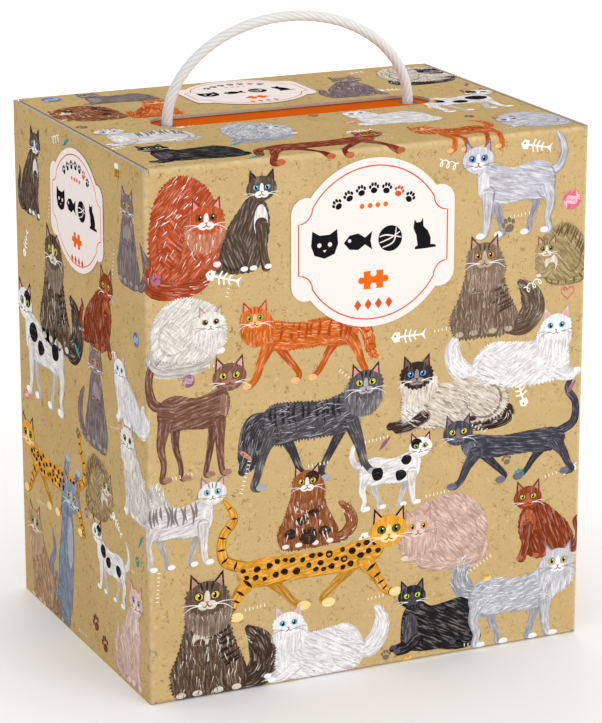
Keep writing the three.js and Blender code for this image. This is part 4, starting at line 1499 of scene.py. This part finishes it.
for side, word in ((-1, "left"), (1, "right")):
    low, high = sorted((side * notchHalf, side * flatHalf))
    foldStrip("back_fold_strip_" + word, low, high, backHigh.z, innerRoll,
              lambda u, v, out: Vector((u, halfDepth + out, v)), "inner_lid", halfDepth)
print("lids ready")

# each film of print: its window, cuts and shape, then its body, or the two bodies given for a blend, which
# newPiece does not apply
margin = carton["printMargin"]
sideWindows = [(*sorted((side * flatHalf, side * backStart)), margin, sideTop - margin) for side in (-1, 1)]
windows = (
    ("front_print", frontWindow, footCuts, wallPoint, "carton", None),
    ("strip_print", (-flatHalf, flatHalf, frontHigh.z, lidFold), stripCuts, lidPoint, None, overFront),
    ("lid_print", (-flatHalf, flatHalf, lidFold, lidEnd), lidCuts, lidPoint, "outer_lid", None),
    ("left_print", sideWindows[0], uprightCuts, sidePoint, "carton", None),
    ("right_print", sideWindows[1], uprightCuts, sidePoint, "carton", None),
    ("back_print", backWindow, backFootCuts, wallPoint, "carton", None),
)
for name, window, cuts, place, body, over in windows:
    mesh = inkMesh(name, printSheet, window, cuts, place, openSlot if name == "lid_print" else None)
    newPiece(name, mesh, [printedInk], body, blendOver=over)
print("print ready")


rope = {"reach": 55, "rise": 40.5, "depth": 5.5, "diameter": 4.4, "start": 218.8, "steps": 260, "strands": 7,
        "body": 2.06, "swell": 0.17, "pitch": 27, "sides": 56, "bend": (0.217, 0.236), "knot": 210.5,
        "knotSize": 1.9 * 0.72, "knotRise": 1.7, "tail": 199.7}


def strandReach(angle):
    # outline of fine yarns laid round a core
    return rope["body"] + rope["swell"] * abs(math.cos(angle * rope["strands"] / 2)) ** 0.7


def ropeMesh(name, line, thickness=1.0, taper=None):
    # a laid rope along a line of points, closed at both ends
    sides, count = rope["sides"], len(line)
    points, lay, groove = [], [], []
    normal, length = None, 0.0
    for i, point in enumerate(line):
        ahead = (line[min(i + 1, count - 1)] - line[max(i - 1, 0)]).normalized()
        if normal is None:
            normal = ahead.orthogonal()
        normal = (normal - ahead * normal.dot(ahead)).normalized()
        side = ahead.cross(normal)
        if i:
            length += (point - line[i - 1]).length
        twist = 2 * math.pi * length / rope["pitch"]
        scale = thickness * (taper(i / (count - 1)) if taper else 1.0)
        for k in range(sides):
            a = 2 * math.pi * k / sides
            strandTurn = a - twist
            outward = normal * math.cos(a) + side * math.sin(a)
            points.append(point + outward * strandReach(strandTurn) * scale)
            lay.append((math.cos(strandTurn) * 6.5, math.sin(strandTurn) * 6.5, length * 0.09))
            # painted shade amount: 1 deep in the grooves between the yarns, 0 on their crowns
            groove.append(1.0 - abs(math.cos(strandTurn * rope["strands"] / 2)) ** 0.5)
    faces = tubeFaces(count - 1, sides)
    faces += [list(reversed(range(sides))), list(range((count - 1) * sides, count * sides))]
    return fixNormals(solid(name, points, faces, lay=("FLOAT_VECTOR", lay), groove=("FLOAT", groove)))


def knotTurn(x, side, a):
    # one point of an overhand turn of the rope under its hole
    size = rope["knotSize"]
    return Vector((x + side * size * (math.sin(a) + 1.1 * math.sin(2 * a)),
                   rope["depth"] + size * (math.cos(a) - 1.1 * math.cos(2 * a)),
                   rope["knot"] - rope["knotRise"] * math.sin(3 * a)))


archLine = []
for i in range(rope["steps"] + 1):
    turn = math.pi * i / rope["steps"]
    height = rope["start"] + rope["rise"] * math.sin(turn)
    archLine.append(Vector((-rope["reach"] * math.cos(turn), rope["depth"], height)))
bendStart, bendEnd = ((0, rope["depth"] * mm, level) for level in rope["bend"])
arch = newPiece("rope_handle", ropeMesh("rope_handle", archLine), [twistedRope], None, sharp=70,
                blendOver=("inner_lid", "handle", bendStart, bendEnd))
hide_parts("rope_arch")
for side, word in ((-1, "left"), (1, "right")):
    x, y, tailStart = side * rope["reach"], rope["depth"], rope["knot"] - 2
    down = [Vector((x, y, rope["start"] + 0.3 - 0.46 * t)) for t in range(11)]
    turns = [knotTurn(x, side, 2 * math.pi * i / 96) for i in range(97)]
    tail = [Vector((x + side * 0.5 * math.sin(t * 0.4), y, tailStart - (tailStart - rope["tail"]) * t / 16))
            for t in range(17)]
    work = bmesh.new()
    for line, size, frayed in ((down, 1.0, None), (turns, 0.88, None),
                               (tail, 0.95, lambda t: 1.0 + 0.12 * t * t)):
        part = ropeMesh("part", line, size, taper=frayed)
        work.from_mesh(part)
        bpy.data.meshes.remove(part)
    name = "rope_knot_%s_turns" % word
    mesh = bpy.data.meshes.new(name)
    work.to_mesh(mesh)
    work.free()
    knot = newPiece(name, mesh, [twistedRope], "inner_lid", sharp=70)
    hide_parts("rope_knot_" + word)


# tabs: 1 for a knob, -1 for a socket, 0 for a straight side; knob: radius, offset and number of steps
puzzle = {"columns": 8, "rows": 5, "layers": 24, "tiltedLayers": 5, "drawnIn": 10.0, "gap": 1.9, "thick": 1.7,
          "size": (17.6, 17.0), "knob": (2.4, 1.7, 5), "seed": 11,
          "tabs": ((1, -1, 1, -1), (-1, 1, -1, 1), (0, 1, -1, 1), (1, -1, 1, 0), (-1, 0, -1, 1)),
          "faces": ((206, 178, 127), (226, 116, 44), (94, 90, 94), (240, 236, 228), (148, 66, 34),
                    (242, 172, 52),
                    (176, 154, 108), (46, 44, 47), (222, 190, 174))}
heapLow, heapHigh = inMillimetres("piece_heap")
bagLow, bagHigh = inMillimetres("puzzle_bag")


def loosePieces():
    draw = random.Random(puzzle["seed"])
    points, faces, kinds, inks = [], [], [], []
    width, depth = heapHigh.x - heapLow.x, heapHigh.y - heapLow.y
    columns, rows, layers = puzzle["columns"], puzzle["rows"], puzzle["layers"]
    tilted = puzzle["tiltedLayers"]
    for layer, row, column in itertools.product(range(layers), range(rows), range(columns)):
        loose = max(0.0, (layer - layers + tilted) / tilted)
        inset = puzzle["drawnIn"] * loose ** 2
        outline = jigsawOutline(*puzzle["size"], draw.choice(puzzle["tabs"]), *puzzle["knob"])
        turn = draw.choice((0, 1, 2, 3)) * math.pi / 2 + draw.uniform(-0.1, 0.1)
        turn += loose * draw.uniform(-0.7, 0.7)
        x = heapLow.x + inset + (width - 2 * inset) * (column + 0.5) / columns + draw.uniform(-1, 1)
        y = heapLow.y + inset + (depth - 2 * inset) * (row + 0.5) / rows + draw.uniform(-1, 1)
        z = heapLow.z + 0.3 + puzzle["gap"] * layer
        leanX, leanY = (draw.uniform(-0.14, 0.14) * loose for _ in range(2))
        faceUp = draw.random() < 0.6
        base, count = len(points), len(outline)
        inks += [linear(draw.choice(puzzle["faces"]))] * (2 * count)
        flat = [turned(0, 0, turn)(*p) for p in outline]
        for lift in (0.0, puzzle["thick"]):
            points += [(x + px, y + py, z + lift + px * leanX + py * leanY) for px, py in flat]
        for a, b, c in tessellate_polygon([[Vector((*p, 0)) for p in outline]]):
            faces += [[base + a, base + b, base + c], [base + count + c, base + count + b, base + count + a]]
            kinds += [1, 0] if faceUp else [0, 1]
        faces += [[base + i, base + (i + 1) % count, base + count + (i + 1) % count, base + count + i]
                  for i in range(count)]
        kinds += [1] * count
    return fixNormals(solid("loose_pieces", points, faces, kinds, ink=("FLOAT_COLOR", inks)))


heap = newPiece("loose_pieces", loosePieces(), [puzzleFace, cutEdge], "carton")
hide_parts("piece_heap")


# foot and neck: shares of the film's length where its bottom and its closing begin
bag = {"rings": 26, "sides": 96, "foot": 0.12, "neck": 0.6, "squareness": 0.45, "drawnIn": 0.10,
       "flattened": 0.985}


def bagProfile(t):
    # width and height of the bag at a share of the film's length
    foot, neck, above = bag["foot"], bag["neck"], (t - bag["neck"]) / (1 - bag["neck"])
    if t < foot:
        return 0.86 + 0.14 * math.sin(t / foot * math.pi / 2), 0.10 * t / foot
    if t < neck:
        return 1.0, 0.10 + 0.72 * (t - foot) / (neck - foot)
    return 1.0 - 0.08 * above, 0.82 + 0.14 * math.sin(above * math.pi / 2)


def rounded(value):
    # pulls a round outline out towards its corners
    return math.copysign(abs(value) ** bag["squareness"], value)


def bagMesh():
    # a pillow of thin film, drawn in to a flat welded seam along its top
    size = bagHigh - bagLow
    rings, sides = bag["rings"], bag["sides"]
    points = []
    for ring in range(rings + 1):
        t = ring / rings
        grow, height = bagProfile(t)
        close = max(0.0, (t - bag["neck"]) / (1 - bag["neck"])) ** 0.8
        for k in range(sides):
            a = 2 * math.pi * k / sides
            cx, cy = rounded(math.cos(a)), rounded(math.sin(a))
            x = cx * size.x / 2 * grow * (1 - bag["drawnIn"] * close)
            y = cy * size.y / 2 * grow * (1 - bag["flattened"] * close)
            crease = noise.noise(Vector((x * 0.05, y * 0.05, height * 9))) * 1.6 - 1.2
            fine = noise.noise(Vector((x * 0.22, y * 0.22, height * 30))) * 0.6 * (0.3 + close)
            z = bagLow.z + 0.4 + size.z * height + (fine * 2 if t > 0.5 else 0.0)
            points.append((x + cx * (crease + fine), y + cy * (crease + fine) * (1 - close), z))
    faces = tubeFaces(rings, sides) + [list(reversed(range(sides)))]
    last = rings * sides                         # the welded seam is closed across its two lips
    for k in range(sides // 2):
        lips = (last + k, last + k + 1, last + (sides - k - 1) % sides, last + (sides - k) % sides)
        faces.append(list(dict.fromkeys(lips)))
    return fixNormals(solid("film_bag", points, faces))


filmBag = newPiece("film_bag", bagMesh(), [clearFilm], "carton", sharp=80)
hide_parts("puzzle_bag")
lowerPieces = puzzleFinish("printedPiece", False)
for node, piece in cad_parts.items():
    if node.startswith("puzzle_piece_"):
        for materialSlot in piece.material_slots:
            materialSlot.material = lowerPieces
print("puzzle ready")


leaflet = {"flat": (0.297, 0.210), "open": 0.55, "rows": 24, "leafSteps": 14, "foldSteps": 8}
sheetLow, sheetHigh = inMillimetres("picture_sheet")


def leafletMesh():
    # one sheet folded once across: front leaf, a small round fold at the left, back leaf a little open
    middle, gap, rows = (sheetLow.y + sheetHigh.y) / 2, leaflet["open"] / 2, leaflet["rows"]
    width, height = sheetHigh.x - sheetLow.x, sheetHigh.z - sheetLow.z
    along = [i / leaflet["leafSteps"] for i in range(leaflet["leafSteps"] + 1)]
    turns = [math.pi * i / leaflet["foldSteps"] for i in range(1, leaflet["foldSteps"])]
    profile = [(sheetHigh.x - width * t, middle - gap * (1 - 0.5 * t)) for t in along]
    profile += [(sheetLow.x - 0.25 * gap * math.sin(a), middle - 0.5 * gap * math.cos(a)) for a in turns]
    profile += [(sheetHigh.x - width * t, middle + gap * (1 - 0.5 * t)) for t in reversed(along)]
    levels = [sheetLow.z + height * row / rows for row in range(rows + 1)]
    points = [(x, y + 0.05 * math.sin(x * 0.05 + z * 0.03), z) for z in levels for x, y in profile]
    count = len(profile)
    faces = [[a, a + 1, a + 1 + count, a + count] for row in range(rows)
             for a in range(row * count, row * count + count - 1)]
    return solid("folded_picture", points, faces)


picture = newPiece("folded_picture", leafletMesh(), [picturePaper], "carton", sharp=80)
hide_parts("picture_sheet")
print("picture sheet ready")


studio = {"floor": (253, 253, 253), "floorCloud": (240, 240, 239), "halfFloor": 6, "world": 1.06,
          "dimAbove": 0.07,
          "horizon": 0.35, "lampTarget": (0, 0, 0.11)}


def floorFinish():
    material, start, shader = newFinish("paleFloor", {"Specular IOR Level": 0.2})
    cloud = start.place().grain(0.4, 2.0)
    feed(shader, "Base Color", start.mix(cloud, linear(studio["floor"]), linear(studio["floorCloud"])))
    feed(shader, "Roughness", cloud * 0.1 + 0.7)
    return material


half = studio["halfFloor"]
floorCorners = [(-half, -half, 0), (half, -half, 0), (half, half, 0), (-half, half, 0)]
floorMesh = solid("studio_floor", floorCorners, [[0, 1, 2, 3]], scale=1)
floorMesh.materials.append(floorFinish())
studioFloor = bpy.data.objects.new("studio_floor", floorMesh)
bpy.context.scene.collection.objects.link(studioFloor)

# white air all round, a little dimmer above the horizon
world = bpy.data.worlds.new("studio")
world.use_nodes = True
air = world.node_tree.nodes["Background"]
air.inputs["Color"].default_value = (1, 1, 1, 1)
studioAir = Signal(world.node_tree)
skyPlace = studioAir.node("ShaderNodeTexCoord", None, None, "Generated")
skyHeight = studioAir.node("ShaderNodeSeparateXYZ", None, {0: skyPlace}, "Z").above(0.0, studio["horizon"])
feed(air, "Strength", studio["world"] - skyHeight * studio["dimAbove"])
bpy.context.scene.world = world
bpy.context.scene.view_settings.view_transform = "Standard"

# name, place, size in metres and power in watts
lights = (("keyLight", (0.9, -1.8, 0.5), 1.0, 13.5), ("rearLight", (0.6, 1.8, 0.8), 1.2, 7.0))
for name, place, size, power in lights:
    lamp = bpy.data.lights.new(name, "AREA")
    lamp.shape, lamp.size, lamp.energy = "DISK", size, power
    stand = bpy.data.objects.new(name, lamp)
    stand.location = place
    stand.rotation_mode = "QUATERNION"
    stand.rotation_quaternion = (Vector(studio["lampTarget"]) - Vector(place)).to_track_quat("-Z", "Y")
    bpy.context.scene.collection.objects.link(stand)
print("studio ready")

print("scene ready")
